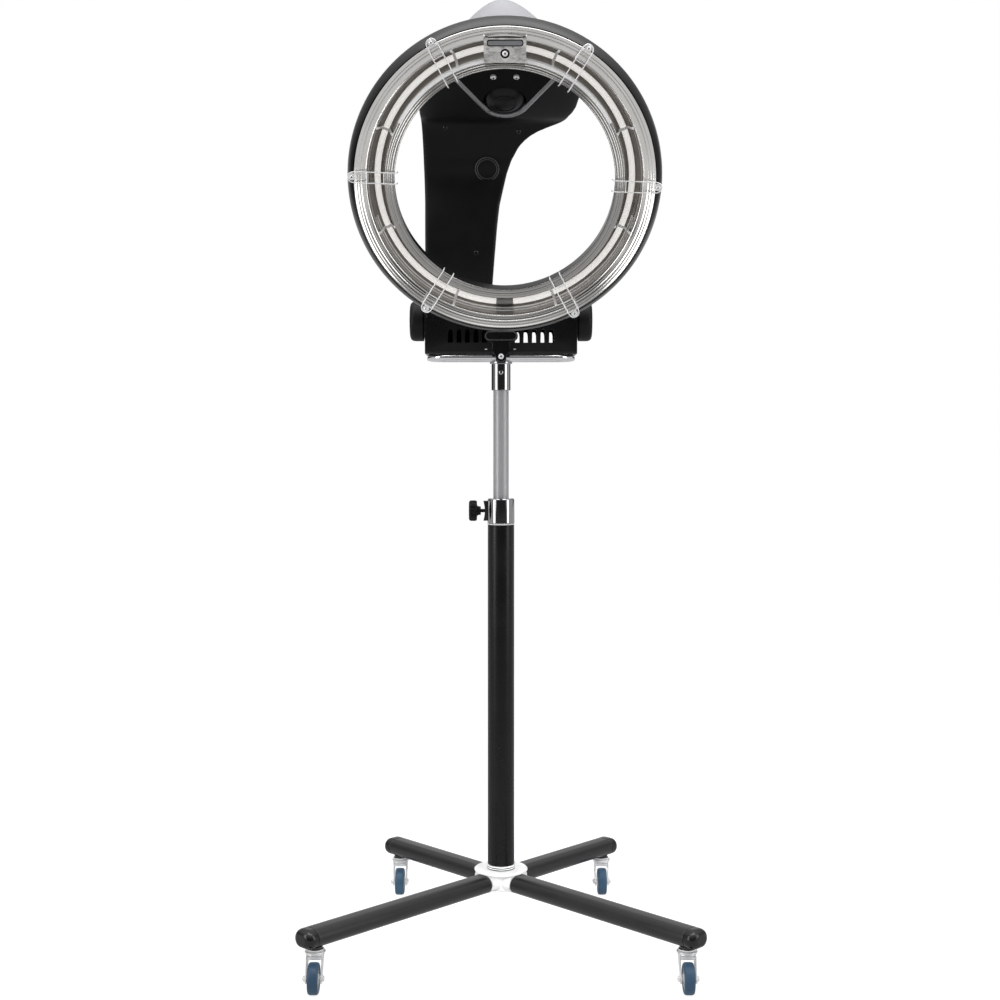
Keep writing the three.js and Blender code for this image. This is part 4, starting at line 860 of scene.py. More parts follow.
class PROCESSOR_OT_ring(bpy.types.Operator):
    """Ring shell, reflector, lamps, clips, guards and terminal plate"""
    bl_idname = "processor.ring"
    bl_label = "Ring"

    def execute(self, context):
        sizes = context.scene.processor_sizes
        self.shell()
        self.reflector()
        self.lamps()
        self.clips(sizes.clip_count)
        self.guards()
        self.terminal(sizes.screw)
        return {"FINISHED"}

    def shell(self):
        bm = bmesh.new()
        outside = [(242.5, 1.5), (244.6, 4.8), (247.4, 10.6), (250.4, 18.4), (252.8, 26.4), (254, 35),
                   (253, 42.4), (250, 49), (244.6, 54.6), (237, 59), (228, 61.8), (218, 63.8), (206, 64.6),
                   (197, 63.6), (189, 59.6), (183, 54), (179.6, 47.6), (178, 38), (176, 5.4)]
        inside = [(178.5, 5.4), (180.6, 38), (182.6, 46.8), (186, 52.4), (191, 57.4), (198, 61),
                  (206, 62), (217, 61.2), (227, 59.2), (235.6, 56.4), (242.8, 52.4), (247.8, 47.4),
                  (250.6, 41.6), (251.4, 35), (250.4, 27.4), (248, 19.4), (245, 11.8), (242.5, 5.8)]
        turned(bm, [(r, -d) for r, d in outside + inside], 160, closed=True)
        finish_piece("ring_back", bm, RING, "ring", ("shell_coat",), ["ring_shell"],
                     sharp=50)

    def reflector(self):
        outer = [(241, 3), (241.4, 1.2), (240.4, -0.2), (238.8, 0.2), (237.6, 2.2), (235.4, 3.2),
                 (234.8, 2.7), (233.8, 3.0), (233.4, 4), (231, 5), (230.3, 4.4), (229.2, 4.9), (228.8, 6),
                 (226.4, 7), (225.6, 6.6), (224.6, 7.2), (222.6, 8.2), (221.4, 7.4), (220.2, 8.2),
                 (219.2, 11)]
        channel = [(218.4, 20), (218, 25), (216.9, 25.8), (216.7, 28.6), (217.5, 29.4), (216.6, 36.6),
                   (215.5, 37.4), (215.1, 40), (215.6, 41), (213.8, 47), (209.8, 54.4), (206, 56.6),
                   (201.6, 54.4), (197.2, 46), (194.6, 34), (193.6, 20)]
        inner = [(192.8, 11), (191.8, 8.6), (190.4, 7.8), (189, 8.4), (187.4, 7.7), (186.8, 6.8), (185.6, 7),
                 (184.4, 6.6), (183.4, 5.4), (182.2, 5.8), (180.4, 5), (179.8, 4.1), (178.6, 4.2), (177.6, 2),
                 (176.6, 1.6), (175.8, 2.6), (176, 4)]
        face = outer + channel + inner
        bm = bmesh.new()
        back = [(r, d + 1.2) for r, d in reversed(face)]
        turned(bm, [(r, -d) for r, d in face + back], 200, closed=True)
        # Slot 1, for channel walls deeper than 9.4, and slot 2, for the inner flange, are painted shade.
        for side in bm.faces:
            middle = side.calc_center_median()
            radius = math.hypot(middle.x, middle.y)
            depth = -middle.z
            # Ridges in the lower half and a bead at the top take pale_plate: painted highlights where these
            # rings catch light.
            ridge_glint = middle.y < -60 and radius > LAMP_CIRCLE and (25 < depth < 28.8 or 36.6 < depth < 40)
            bead_glint = middle.y > 90 and 188 < radius < 194 and depth < 22
            if ridge_glint or bead_glint:
                side.material_index = 3
            else:
                side.material_index = 1 if depth > 9.4 else 2 * int(radius < LAMP_CIRCLE - 13)
        finish_piece("ring_mirror", bm, RING, "ring",
                     ("bright_reflector", "channel_shade", "dull_reflector", "pale_plate"),
                     ["ring_reflector"], sharp=60)

    def lamps(self):
        start = -math.pi / 2 + math.radians(2)
        end = math.pi / 2 - math.asin(LAMP_GAP / LAMP_CIRCLE)
        for side, name in ((-1, "left"), (1, "right")):
            turns = [start + (end - start) * k / 40 for k in range(41)]
            line = [on_circle(LAMP_CIRCLE, turn, LAMP_DEPTH) for turn in turns]
            line = [Vector((side * point.x, point.y, point.z)) for point in line]
            bm = bmesh.new()
            rod(bm, line, LAMP_RADIUS, sides=6, steps=3)
            finish_piece("lamp_tube_" + name, bm, RING, "ring", ("lamp_tube",),
                         ["lamp_" + name])
            bm = bmesh.new()
            wave = []
            for k in range(161):
                turn = start + 0.06 + (end - start - 0.12) * k / 160
                off = 0.8 * math.cos(k * math.pi / 2)
                lift = 0.8 * math.sin(k * math.pi / 2)
                point = on_circle(LAMP_CIRCLE + off, turn, LAMP_DEPTH + lift)
                wave.append((side * point.x, point.y, point.z))
            rod(bm, wave, 0.45, sides=1, steps=2)
            finish_piece("filament_" + name, bm, RING, "ring", ("filament",))
        bm = bmesh.new()
        sleeve = [on_circle(LAMP_CIRCLE, -math.pi / 2 + math.radians(-3.9 + 7.8 * k / 8), LAMP_DEPTH)
                  for k in range(9)]
        rod(bm, sleeve, LAMP_RADIUS + 0.3, sides=6, steps=3)
        finish_piece("lamp_joint", bm, RING, "ring", ("ceramic_end",), round_by=0.4)

    def clips(self, count):
        bm = bmesh.new()
        for k in range(count):
            turn = math.pi * (2 * k + 1) / count
            frame_here = Matrix.Rotation(turn, 4, "Z")
            bow = [(220.4, 8.4), (217.4, 12), (215.4, 26), (213.4, 38)]
            bow += [(LAMP_CIRCLE + CLIP_HOLD * math.cos(a), LAMP_DEPTH - CLIP_HOLD * math.sin(a))
                    for a in (math.pi * (0.12 + 0.76 * j / 8) for j in range(9))]
            bow += [(198.6, 38), (196.6, 26), (194.6, 12), (191.6, 8.4)]
            strip = ((-CLIP_HALF, -0.5), (CLIP_HALF, -0.5), (CLIP_HALF, 0.5), (-CLIP_HALF, 0.5))
            rings = [[(r, y, -d + lift) for y, lift in strip] for r, d in bow]
            before = set(bm.verts)
            lofted(bm, rings)
            fresh = [vert for vert in bm.verts if vert not in before]
            bmesh.ops.transform(bm, matrix=frame_here, verts=fresh)
        finish_piece("lamp_clips", bm, RING, "ring", ("pale_plate",), round_by=0.2)

    def guards(self):
        half = GUARD_HALF
        hook = [(171.6, 9), (171.4, 4), (173.4, -0.6), (178, -2.4), (190, -2), (206, -1.9), (222, -1.9),
                (234, -1.9)]
        for k in range(GUARD_COUNT):
            turn = GUARD_PHASE + 2 * math.pi * k / GUARD_COUNT
            up = [on_circle(r, turn, d, -half) for r, d in hook]
            down = [on_circle(r, turn, d, half) for r, d in reversed(hook)]
            loop = [on_circle(240, turn, -2, -half + 0.3), on_circle(245.6, turn, -1.2, -half + 1.6),
                    on_circle(249.2, turn, 0.4, -4), on_circle(250, turn, 0.8, 0),
                    on_circle(249.2, turn, 0.4, 4), on_circle(245.6, turn, -1.2, half - 1.6),
                    on_circle(240, turn, -2, half - 0.3)]
            bm = bmesh.new()
            rod(bm, up + loop + down, GUARD_WIRE, sides=3, steps=4)
            for r in (192.5, 219.5, 238):
                rung = [on_circle(r, turn, -2.6, across) for across in (-half - 1, 0, half + 1)]
                rod(bm, rung, RUNG_WIRE, sides=2)
            finish_piece("guard_wire_%d" % (k + 1), bm, RING, "ring", ("bright_zinc",),
                         ["wire_guard_%d" % (k + 1)])
            bm = bmesh.new()
            seat = Matrix.Rotation(turn, 4, "Z") @ Matrix.Translation((244, 0, 1.4))
            pan_screw(bm, 3.3, seat)
            turned(bm, [(0, -0.9), (5.2, -0.9), (5.6, -1.3), (5.6, -3.4), (0, -3.4)], 28, place=seat)
            finish_piece("guard_screw_%d" % (k + 1), bm, RING, "ring", ("bright_zinc", "dark_inside"))

    def terminal(self, screw):
        bm = bmesh.new()
        middle = Matrix.Translation((0, TERMINAL_MIDDLE, 0))
        strip = Matrix.Translation((0, STRIP_MIDDLE, 0))
        plate(bm, rounded_box(33, 19, 3), -5.5, -2.5, middle)
        plate(bm, rounded_box(31, 7.5, 2), -49, -4.5, middle)
        cover = finish_piece("terminal_cover", bm, RING, "ring", ("crumpled_foil", "dark_inside"),
                             ["terminal_plate"], round_by=0.6)
        slot_cut = bmesh.new()
        plate(slot_cut, rounded_box(28.5, 5.2, 4), -3.6, 2, strip)
        carved(cover, slot_cut, RING)
        # Dark sheets at the foot of the slot and round the screw: painted shade in the gaps.
        bm = bmesh.new()
        plate(bm, rounded_box(28.4, 5.1, 3.9), -3.8, -3.4, strip)
        turned(bm, [(0, -2.4), (7.2, -2.4), (7.6, -2.8), (0, -2.8)], 32,
               place=Matrix.Translation((0, TERMINAL_SCREW, 0)))
        finish_piece("terminal_gap_shade", bm, RING, "ring", ("dark_inside",))
        bm = bmesh.new()
        plate(bm, rounded_box(27, 3.7, 3.2), -3.8, -2.2, strip)
        finish_piece("terminal_strip", bm, RING, "ring", ("mill_steel",), round_by=0.9)
        bm = bmesh.new()
        pan_screw(bm, screw, Matrix.Translation((0, TERMINAL_SCREW, -1.6)))
        finish_piece("terminal_screw", bm, RING, "ring", ("bright_zinc", "dark_inside"))


class PROCESSOR_OT_orbit(bpy.types.Operator):
    """Orbit hub and the yoke that carries the ring"""
    bl_idname = "processor.orbit"
    bl_label = "Orbit hub"

    def execute(self, context):
        bm = bmesh.new()
        top = HEAD_RISE - 0.6
        dome = [(0, -56), (10, -55.7), (19, -54.4), (26, -52), (31, -48.6), (34, -44.6), (35, -41), (35, -14),
                (36.4, -11.6), (39.4, -7), (40, -5), (40, -0.8), (39, 0), (8, 0), (8, 16), (0, 16)]
        turned(bm, [(radius, top + drop) for radius, drop in dome], 96)
        rod(bm, [(19 * math.cos(a), 19 * math.sin(a), top - 54.5)
                 for a in (2 * math.pi * k / 12 for k in range(12))], 0.9, closed=True, sides=3, steps=4)
        finish_piece("orbit_dome", bm, ORBIT, "ring", ("shell_coat",), ["orbit_hub"])
        self.yoke(context.scene.processor_sizes.screw)
        return {"FINISHED"}

    def yoke(self, screw):
        rise = HEAD_RISE - YOKE_DROP
        reach = math.hypot(YOKE_HALF, YOKE_SHOULDER)
        turn = math.acos(YOKE_HEEL / reach) - math.atan2(YOKE_SHOULDER, YOKE_HALF)
        arc = [turn + (math.pi - 2 * turn) * k / 28 for k in range(29)]
        outline = [(-YOKE_HALF, -YOKE_FRONT), (YOKE_HALF, -YOKE_FRONT), (YOKE_HALF, -YOKE_SHOULDER)]
        outline += [(YOKE_HEEL * math.cos(a), YOKE_HEEL * math.sin(a)) for a in arc]
        outline += [(-YOKE_HALF, -YOKE_SHOULDER)]
        bm = bmesh.new()
        plate(bm, outline, rise - YOKE_HALF_DEPTH, rise + YOKE_HALF_DEPTH)
        # The yoke plate takes the painted-shade black, for the shade under the ring.
        yoke = finish_piece("yoke_plate", bm, ORBIT, "ring", ("dark_inside",),
                            ["ring_yoke"], round_by=4.2)
        outside = bmesh.new()
        turned(outside, [(300, 200), (175.7, 200), (175.7, -5.4), (178.7, -47), (199.6, -64.5), (199.6, -200),
                         (300, -200)], 120, closed=True)
        carved(yoke, outside, RING)
        well = bmesh.new()
        plate(well, disc(35.3, 80), 0, HEAD_RISE)
        carved(yoke, well, ORBIT)
        # A grey rod along the yoke's heel: a painted highlight for the plate's lit edge.
        bm = bmesh.new()
        lip = YOKE_HEEL - 3.2
        edge = [(YOKE_HALF - 8, -YOKE_SHOULDER - 1, rise - 3.4)]
        edge += [(lip * math.cos(a), lip * math.sin(a), rise - 3.4) for a in arc]
        edge += [(8 - YOKE_HALF, -YOKE_SHOULDER - 1, rise - 3.4)]
        rod(bm, edge, 4.8, sides=4, steps=3)
        finish_piece("yoke_edge_highlight", bm, ORBIT, "ring", ("edge_grey",))
        bm = bmesh.new()
        for x in (-18.5, 18.5):
            under = Matrix.Translation((x, -64, rise - 7.4)) @ Matrix.Rotation(math.pi, 4, "X")
            pan_screw(bm, 1.15 * screw, under)
        finish_piece("yoke_screws", bm, ORBIT, "ring", ("bright_zinc", "dark_inside"))


def on_orbit(rise, front):
    """(y, z) of a point at a rise along the orbit axis and a distance in front of it."""
    return (RING_Y + rise * math.sin(ORBIT_TILT) - front * math.cos(ORBIT_TILT),
            RING_Z + rise * math.cos(ORBIT_TILT) + front * math.sin(ORBIT_TILT))


def round_ring(radius, degrees):
    """(y, z) of a point on a circle about the ring's centre."""
    turn = math.radians(degrees)
    return (RING_Y + radius * math.cos(turn), RING_Z + radius * math.sin(turn))


def between(table, value):
    """Straight-line value from a table of (place, value) pairs."""
    for (a, left), (b, right) in zip(table, table[1:]):
        if value <= b:
            share = max(0.0, (value - a) / (b - a))
            return left + (right - left) * share
    return table[-1][1]


def through(points, share):
    """Point of a smooth line through the points, with one unit of share for each stretch."""
    k = min(int(share), len(points) - 2)
    t = share - k
    before, start = points[max(k - 1, 0)], points[k]
    end, after = points[k + 1], points[min(k + 2, len(points) - 1)]
    pull, push = (end - before) / 2, (after - start) / 2
    swing = (2 * t ** 3 - 3 * t ** 2 + 1) * start + (t ** 3 - 2 * t ** 2 + t) * pull
    return swing + (3 * t ** 2 - 2 * t ** 3) * end + (t ** 3 - t ** 2) * push


# Sections of the arm from its neck to the nose of its head: front, split and back points in (y, z).
# A row of the head has the place in front of the orbit axis, the back's rise and the back's place.
HEAD_ROWS = [(-80, 325.5, -78), (-40, 332.5, -38), (0, 336, 0), (40, 333, 36), (70, 318, 64), (88, 291, 86)]
ARM_SECTIONS = [
    [(-30, 1120.3), (-8, 1120.3), (30, 1120.3)],
    [(-47.9, 1152.3), (-25.9, 1152.3), (14.1, 1152.3)],
    [round_ring(STEM_FACE, -14), round_ring(STEM_SPLIT, -15), round_ring(STEM_BACK, -13)],
    [round_ring(STEM_FACE, 8), round_ring(STEM_SPLIT, 8), round_ring(STEM_BACK, 8)],
    [round_ring(STEM_FACE, 16), round_ring(STEM_SPLIT, 16), round_ring(STEM_BACK, 18)],
    [round_ring(STEM_FACE, 22), round_ring(STEM_SPLIT, 22.5), round_ring(338, 27)],
    [on_orbit(216, -138), on_orbit(240, -138), on_orbit(303, -142)],
    [on_orbit(211.5, -110), on_orbit(PLATE_RISE, -110), on_orbit(316, -112)],
    *[[on_orbit(HEAD_RISE, front), on_orbit(PLATE_RISE, front), on_orbit(back, over)]
      for front, back, over in HEAD_ROWS],
    [on_orbit(212, 96), on_orbit(PLATE_RISE, 96), on_orbit(260, 96)],
    [on_orbit(218, 98), on_orbit(231, 99), on_orbit(240, 99)],
]
# Edges of the arm in (height over the ring's centre, x), and the head's plan in (front, half width)
RIGHT_EDGE = [(-240, -17), (-132, -15), (-80, -11.5), (-29, -7), (6, -2.7), (33, 4.1), (59, 10.6),
              (80, 18.5), (100, 30.6), (108, 38), (116, 48.6), (122, 59), (127.6, 72.5), (131.4, 85),
              (134.8, 96.6), (138, 107), (141.7, 116.5), (146.6, 124.4), (152.5, 130), (165, 135.6),
              (180, 138)]
LEFT_EDGE = [(-180, -130.5), (-150, -130.5), (-120, -134), (10, -134.5), (113, -137.6), (163, -140)]
NOSE_PLAN = [(-60, 146), (-25, 139), (15, 126), (40, 114), (60, 100), (76, 81), (88, 60), (94, 41), (97, 24),
             (99, 14)]


class Station:
    """One section of the arm: its front, split and back points, its side edges and its crown."""

    def __init__(self, share):
        lines = [[Vector((0, *section[k])) for section in ARM_SECTIONS] for k in range(3)]
        self.front, self.split, self.back = (through(line, share) for line in lines)
        rise = self.front.z - RING_Z
        ahead = rise * math.sin(ORBIT_TILT) - (self.front.y - RING_Y) * math.cos(ORBIT_TILT)
        half = between(NOSE_PLAN, ahead)
        self.left = max(between(LEFT_EDGE, rise), RING_X - half)
        self.right = min(between(RIGHT_EDGE, rise), RING_X + half)
        head = min(1.0, max(0.0, (ahead + CROWN_START) / CROWN_RUN))
        self.crown = (FLAT_CROWN + DOME_SPREAD * head, FLAT_CROWN + DOME_LIFT * head)
        self.lean = -HEAD_LEAN * head

    def arch(self, start, end, crown, count, shrink=0.0):
        """Points over the section from the left edge to the right one, from start to end."""
        points = []
        power, lift_power = crown
        middle = (self.left + self.right) / 2
        half = (self.right - self.left) / 2 - shrink
        for k in range(count + 1):
            turn = math.pi * k / count
            cosine, sine = math.cos(turn), math.sin(turn)
            x = middle - half * math.copysign(abs(cosine) ** power, cosine)
            share = abs(sine) ** lift_power
            points.append(Vector((x + self.lean * share, 0, 0)) + start + (end - start) * share)
        return points


def arm_stations(steps=6):
    """Sections of the arm, close enough together for a smooth skin."""
    last = len(ARM_SECTIONS) - 1
    return [Station(k / steps) for k in range(last * steps + 1)]


def face_place(stations, x, rise):
    """Frame on the front cover's face at a height over the ring's centre, its Z out of the face."""
    for low, high in zip(stations, stations[1:]):
        if low.front.z - RING_Z <= rise <= high.front.z - RING_Z:
            run = high.front - low.front
            spot = low.front + run * ((rise + RING_Z - low.front.z) / run.z)
            lean = math.atan2(-run.y, run.z)
            return Matrix.Translation((x, spot.y, spot.z)) @ Matrix.Rotation(lean, 4, "X") @ TO_FRONT
    raise ValueError("no such height on the arm")


class PROCESSOR_OT_arm(bpy.types.Operator):
    """Arm covers, their screws and badge ring, and the control panel"""
    bl_idname = "processor.arm"
    bl_label = "Arm"

    def execute(self, context):
        stations = arm_stations()
        bm = bmesh.new()
        rings = []
        for station in stations:
            over = station.arch(station.split, station.front, (0.16, 0.16), 40)
            under = station.arch(station.split, station.split, (1, 1), 12, shrink=1.2)
            rings.append(over + under[::-1][1:-1])
        lofted(bm, rings)
        finish_piece("arm_face", bm, COLUMN, "arm", ("black_moulded",),
                     ["arm_front_cover"], sharp=50)
        bm = bmesh.new()
        rings = []
        for station in stations:
            lip = (station.back - station.split).normalized() * 0.6
            over = station.arch(station.split + lip, station.back, station.crown, 40, shrink=0.4)
            under = station.arch(station.split + lip, station.split + lip, (1, 1), 12, shrink=1.8)
            rings.append(over + under[::-1][1:-1])
        lofted(bm, rings)
        finish_piece("arm_back", bm, COLUMN, "arm", ("silver_lacquer",),
                     ["arm_rear_cover"], sharp=50)
        self.details(stations)
        self.panel()
        return {"FINISHED"}

    def details(self, stations):
        bm = bmesh.new()
        for x, rise in ((-97, 132), (30.6, 126), (-44, -81)):
            turned(bm, [(0, -0.4), (2.3, -0.4), (2.6, 0.3), (3.4, 0.5), (3.9, 0.1), (3.9, -1.5), (0, -1.5)],
                   24, place=face_place(stations, x, rise))
        finish_piece("arm_plugs", bm, COLUMN, "arm", ("black_gloss",))
        bm = bmesh.new()
        place = face_place(stations, -24.5, 66.5) @ Matrix.Translation((0, 0, 1.2))
        turned(bm, [(19.6, -1.2), (19.6, 0.4), (20.2, 0.8), (21, 0.8), (21.6, 0.4), (21.6, -1.2)], 64,
               closed=True, place=place)
        turned(bm, [(16.4, -1.2), (16.4, 0.3), (16.8, 0.6), (17.4, 0.6), (17.8, 0.3), (17.8, -1.2)], 64,
               closed=True, place=place)
        finish_piece("badge_ring", bm, COLUMN, "arm", ("printed_grey",))

    def panel(self):
        low = Vector((0, 14.1, TILT_AXIS + 58))
        high = Vector((0, *round_ring(STEM_BACK, 8)))
        lean = math.atan2(low.y - high.y, high.z - low.z)
        middle = low + (high - low).normalized() * 100
        out = Matrix.Translation((-74.75, middle.y + 0.3, middle.z)) @ Matrix.Rotation(lean, 4, "X")
        out = out @ Matrix.Rotation(-math.pi / 2, 4, "X") @ Matrix.Rotation(math.pi, 4, "Z")
        bm = bmesh.new()
        plate(bm, rounded_box(39, 60, 8), 0, 4, out)
        finish_piece("keypad_plate", bm, COLUMN, "arm", ("panel_film",), ["control_panel"],
                     round_by=0.9)
        bm = bmesh.new()
        plate(bm, rounded_box(28, 13, 3), 3.9, 4.5, out @ Matrix.Translation((0, 38, 0)))
        finish_piece("keypad_window", bm, COLUMN, "arm", ("panel_window",), round_by=0.3)
        bm = bmesh.new()
        for row in range(3):
            for column in range(3):
                at = out @ Matrix.Translation((-21 + 21 * column, 8 - 19 * row, 0))
                plate(bm, rounded_box(7.6, 5.8, 2.6), 3.9, 5.2, at)
        plate(bm, disc(8, 40), 3.9, 5.4, out @ Matrix.Translation((0, -47, 0)))
        finish_piece("keypad_keys", bm, COLUMN, "arm", ("panel_key",), round_by=0.7)


class PROCESSOR_OT_studio(bpy.types.Operator):
    """Floor, backdrop light, lamps and the photograph's camera"""
    bl_idname = "processor.studio"
    bl_label = "Studio"

    def execute(self, context):
        scene = context.scene
        scene.view_settings.view_transform = "Standard"
        self.camera(scene)
        self.floor(scene)
        self.world(scene)
        self.lamp("top_box", (0.1, AXIS_Y - 0.5, 3.1), (0.1, AXIS_Y - 0.2, 0.8), (2.4, 1.8), 46)
        self.lamp("left_box", (-2.4, AXIS_Y - 1.5, 1.5), (0, AXIS_Y - 0.1, 0.9), (0.9, 2.4), 26)
        self.lamp("right_box", (2.4, AXIS_Y - 1.3, 1.5), (0, AXIS_Y - 0.1, 0.9), (0.9, 2.4), 20)
        self.spot("hub_spot", (0, AXIS_Y - 1.5, 1.0), (0, AXIS_Y - 0.02, 0.09), 420)
        return {"FINISHED"}

    def spot(self, name, place, target, power):
        data = bpy.data.lights.new(name, "SPOT")
        data.energy = power
        data.spot_size = math.radians(7)
        data.spot_blend = 0.6
        data.shadow_soft_size = 0.2
        lamp = self.put(name, data, place, target)
        lamp.visible_glossy = False

    def camera(self, scene):
        data = bpy.data.cameras.new("photo_camera")
        data.sensor_width = SENSOR_WIDTH
        data.lens = FOCAL_PIXELS * SENSOR_WIDTH / PICTURE_WIDTH
        data.shift_y = CAMERA_SHIFT
        data.clip_end = 50
        camera = bpy.data.objects.new("photo_camera", data)
        camera.location = (CAMERA_SIDE, AXIS_Y - CAMERA_DISTANCE, CAMERA_HEIGHT)
        camera.rotation_euler = (math.pi / 2, 0, 0)
        scene.collection.objects.link(camera)
        scene.camera = camera

    def floor(self, scene):
        bm = bmesh.new()
        bmesh.ops.create_grid(bm, x_segments=8, y_segments=8, size=14)
        mesh = bpy.data.meshes.new("studio_floor")
        bm.to_mesh(mesh)
        bm.free()
        material = bpy.data.materials.new("white_floor")
        material.use_nodes = True
        tree = material.node_tree
        tree.nodes.clear()
        rays = tree.nodes.new("ShaderNodeLightPath")
        seen = tree.nodes.new("ShaderNodeMath")
        seen.operation = "MAXIMUM"
        tree.links.new(rays.outputs["Is Camera Ray"], seen.inputs[0])
        tree.links.new(rays.outputs["Is Transmission Ray"], seen.inputs[1])
        glow = tree.nodes.new("ShaderNodeEmission")
        glow.inputs["Strength"].default_value = 0.9
        matt = tree.nodes.new("ShaderNodeBsdfDiffuse")
        matt.inputs["Color"].default_value = (0.82, 0.82, 0.82, 1)
        shade = tree.nodes.new("ShaderNodeBsdfDiffuse")
        shade.inputs["Color"].default_value = (0.3, 0.3, 0.3, 1)
        both = tree.nodes.new("ShaderNodeAddShader")
        tree.links.new(glow.outputs[0], both.inputs[0])
        tree.links.new(shade.outputs[0], both.inputs[1])
        pick = tree.nodes.new("ShaderNodeMixShader")
        tree.links.new(seen.outputs[0], pick.inputs[0])
        tree.links.new(matt.outputs[0], pick.inputs[1])
        tree.links.new(both.outputs[0], pick.inputs[2])
        where = tree.nodes.new("ShaderNodeTexCoord")
        parts = tree.nodes.new("ShaderNodeSeparateXYZ")
        tree.links.new(where.outputs["Object"], parts.inputs[0])
        fade = tree.nodes.new("ShaderNodeMapRange")
        fade.interpolation_type = "SMOOTHSTEP"
        for name, value in (("From Min", -6.4), ("From Max", -2.2), ("To Min", 0.06), ("To Max", 0.62)):
            fade.inputs[name].default_value = value
        tree.links.new(parts.outputs["Y"], fade.inputs["Value"])
        mirrored = tree.nodes.new("ShaderNodeEmission")
        tree.links.new(fade.outputs["Result"], mirrored.inputs["Strength"])
        last = tree.nodes.new("ShaderNodeMixShader")
        end = tree.nodes.new("ShaderNodeOutputMaterial")
        tree.links.new(rays.outputs["Is Glossy Ray"], last.inputs[0])
        tree.links.new(pick.outputs[0], last.inputs[1])
        tree.links.new(mirrored.outputs[0], last.inputs[2])
        tree.links.new(last.outputs[0], end.inputs["Surface"])
        mesh.materials.append(material)
        floor = bpy.data.objects.new("studio_floor", mesh)
        scene.collection.objects.link(floor)

    def world(self, scene):
        world = bpy.data.worlds.new("studio")
        scene.world = world
        world.use_nodes = True
        tree = world.node_tree
        tree.nodes.clear()
        rays = tree.nodes.new("ShaderNodeLightPath")
        white = tree.nodes.new("ShaderNodeBackground")
        white.inputs["Color"].default_value = (1, 1, 1, 1)
        fill = tree.nodes.new("ShaderNodeBackground")
        fill.inputs["Strength"].default_value = 0.42
        room = tree.nodes.new("ShaderNodeBackground")
        tree.links.new(self.room_colour(tree), room.inputs["Color"])
        first = tree.nodes.new("ShaderNodeMixShader")
        second = tree.nodes.new("ShaderNodeMixShader")
        end = tree.nodes.new("ShaderNodeOutputWorld")
        tree.links.new(rays.outputs["Is Glossy Ray"], first.inputs[0])
        tree.links.new(white.outputs[0], first.inputs[1])
        tree.links.new(room.outputs[0], first.inputs[2])
        tree.links.new(rays.outputs["Is Diffuse Ray"], second.inputs[0])
        tree.links.new(first.outputs[0], second.inputs[1])
        tree.links.new(fill.outputs[0], second.inputs[2])
        tree.links.new(second.outputs[0], end.inputs["Surface"])

    def room_colour(self, tree):
        """What bright metal sees: a dark room on the client's side, pale walls, a white backdrop."""
        where = tree.nodes.new("ShaderNodeTexCoord")
        parts = tree.nodes.new("ShaderNodeSeparateXYZ")
        tree.links.new(where.outputs["Generated"], parts.inputs[0])
        minus = tree.nodes.new("ShaderNodeMath")
        minus.operation = "MULTIPLY"
        minus.inputs[1].default_value = -1.0
        tree.links.new(parts.outputs["Y"], minus.inputs[0])
        turn = tree.nodes.new("ShaderNodeMath")
        turn.operation = "ARCTAN2"
        tree.links.new(parts.outputs["X"], turn.inputs[0])
        tree.links.new(minus.outputs[0], turn.inputs[1])
        share = tree.nodes.new("ShaderNodeMapRange")
        share.inputs["From Min"].default_value = -math.pi
        share.inputs["From Max"].default_value = math.pi
        tree.links.new(turn.outputs[0], share.inputs["Value"])
        walls = tree.nodes.new("ShaderNodeValToRGB")
        stops = [(-180, 1.0), (-152, 1.0), (-142, 0.06), (-104, 0.05), (-98, 0.42), (-68, 0.5), (-64, 1.0),
                 (-42, 1.0), (-37, 0.03), (40, 0.03), (46, 0.6), (116, 0.62), (124, 0.06), (144, 0.06),
                 (154, 1.0), (180, 1.0)]
        ramp = walls.color_ramp
        for degrees, _level in stops[1:-1]:
            ramp.elements.new((degrees + 180) / 360)
        for stop, (_degrees, level) in zip(ramp.elements, stops):
            stop.color = (level, level, level, 1)
        tree.links.new(share.outputs["Result"], walls.inputs["Fac"])
        above = tree.nodes.new("ShaderNodeMapRange")
        above.interpolation_type = "SMOOTHSTEP"
        above.inputs["From Min"].default_value = 0.5
        above.inputs["From Max"].default_value = 0.8
        tree.links.new(parts.outputs["Z"], above.inputs["Value"])
        band = tree.nodes.new("ShaderNodeMapRange")
        band.interpolation_type = "SMOOTHSTEP"
        band.inputs["From Min"].default_value = 0.2
        band.inputs["From Max"].default_value = 0.4
        tree.links.new(parts.outputs["Z"], band.inputs["Value"])
        upper = tree.nodes.new("ShaderNodeMix")
        upper.data_type = "RGBA"
        upper.inputs["B"].default_value = (0.34, 0.34, 0.34, 1)
        tree.links.new(band.outputs["Result"], upper.inputs["Factor"])
        tree.links.new(walls.outputs["Color"], upper.inputs["A"])
        over = tree.nodes.new("ShaderNodeMix")
        over.data_type = "RGBA"
        over.inputs["B"].default_value = (0.95, 0.95, 0.95, 1)
        tree.links.new(above.outputs["Result"], over.inputs["Factor"])
        tree.links.new(upper.outputs["Result"], over.inputs["A"])
        return over.outputs["Result"]

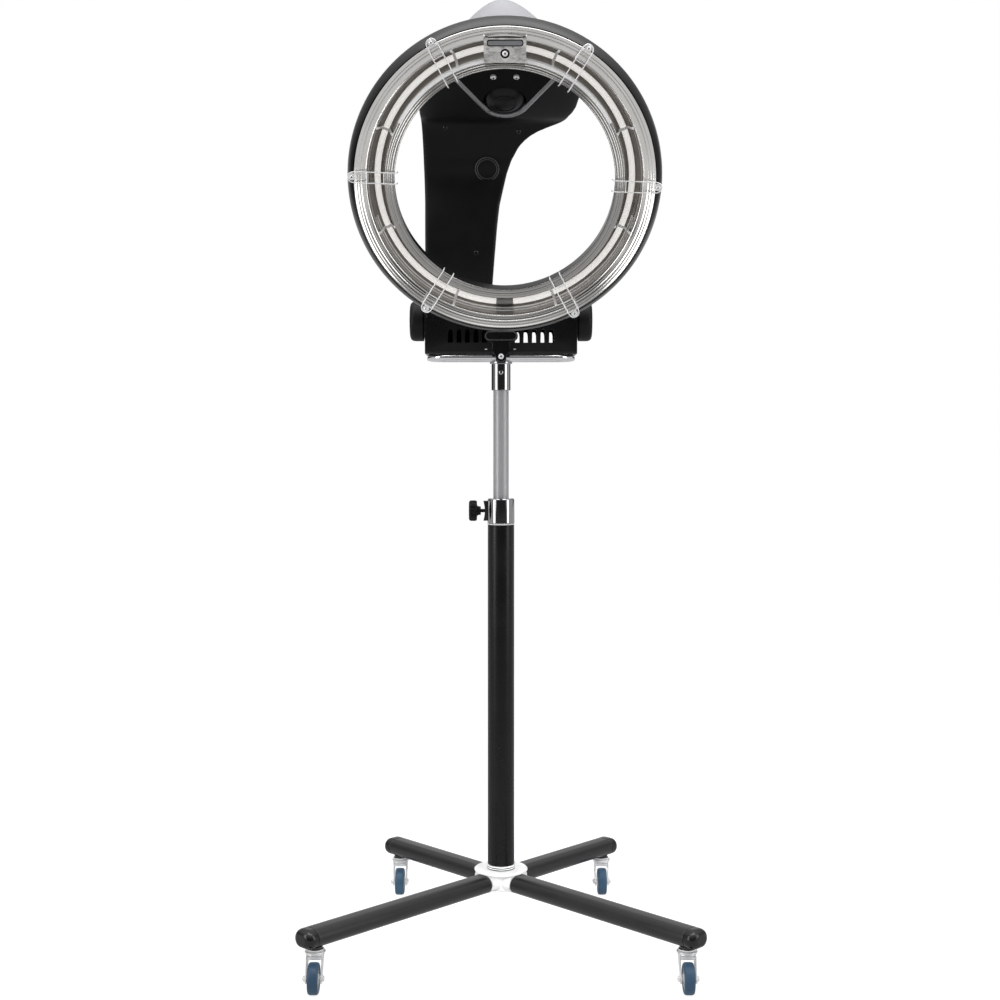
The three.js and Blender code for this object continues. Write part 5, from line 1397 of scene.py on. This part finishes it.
    def lamp(self, name, place, target, size, power):
        data = bpy.data.lights.new(name, "AREA")
        data.shape = "RECTANGLE"
        data.size, data.size_y = size
        data.energy = power
        self.put(name, data, place, target)

    def put(self, name, data, place, target):
        lamp = bpy.data.objects.new(name, data)
        lamp.location = place
        aim = Vector(target) - Vector(place)
        lamp.rotation_euler = aim.to_track_quat("-Z", "Y").to_euler()
        bpy.context.scene.collection.objects.link(lamp)
        return lamp


class PROCESSOR_PT_pieces(bpy.types.Panel):
    """Lists the pieces of the processor"""
    bl_idname = "PROCESSOR_PT_pieces"
    bl_label = "Hair color processor"
    bl_space_type = "VIEW_3D"
    bl_region_type = "UI"
    bl_category = "Processor"

    def draw(self, context):
        for group in (context.scene.processor_finishes, context.scene.processor_sizes):
            for name in group.__annotations__:
                self.layout.prop(group, name)
        for operator in OPERATORS:
            self.layout.operator(operator.bl_idname)


OPERATORS = (
    PROCESSOR_OT_finishes,
    PROCESSOR_OT_studio,
    PROCESSOR_OT_base,
    PROCESSOR_OT_casters,
    PROCESSOR_OT_column,
    PROCESSOR_OT_housing,
    PROCESSOR_OT_ring,
    PROCESSOR_OT_orbit,
    PROCESSOR_OT_arm,
)
CLASSES = (PROCESSOR_finishes, PROCESSOR_sizes, *OPERATORS, PROCESSOR_PT_pieces)


def register():
    for cls in CLASSES:
        bpy.utils.register_class(cls)
    bpy.types.Scene.processor_finishes = bpy.props.PointerProperty(type=PROCESSOR_finishes)
    bpy.types.Scene.processor_sizes = bpy.props.PointerProperty(type=PROCESSOR_sizes)


def unregister():
    del bpy.types.Scene.processor_sizes
    del bpy.types.Scene.processor_finishes
    for cls in reversed(CLASSES):
        bpy.utils.unregister_class(cls)


def main():
    register()
    bpy.ops.processor.finishes()
    bpy.ops.processor.studio()
    bpy.ops.processor.base()
    bpy.ops.processor.casters()
    bpy.ops.processor.column()
    bpy.ops.processor.housing()
    bpy.ops.processor.ring()
    bpy.ops.processor.orbit()
    bpy.ops.processor.arm()
    bpy.context.view_layer.update()
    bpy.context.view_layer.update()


if __name__ == "__main__":
    main()
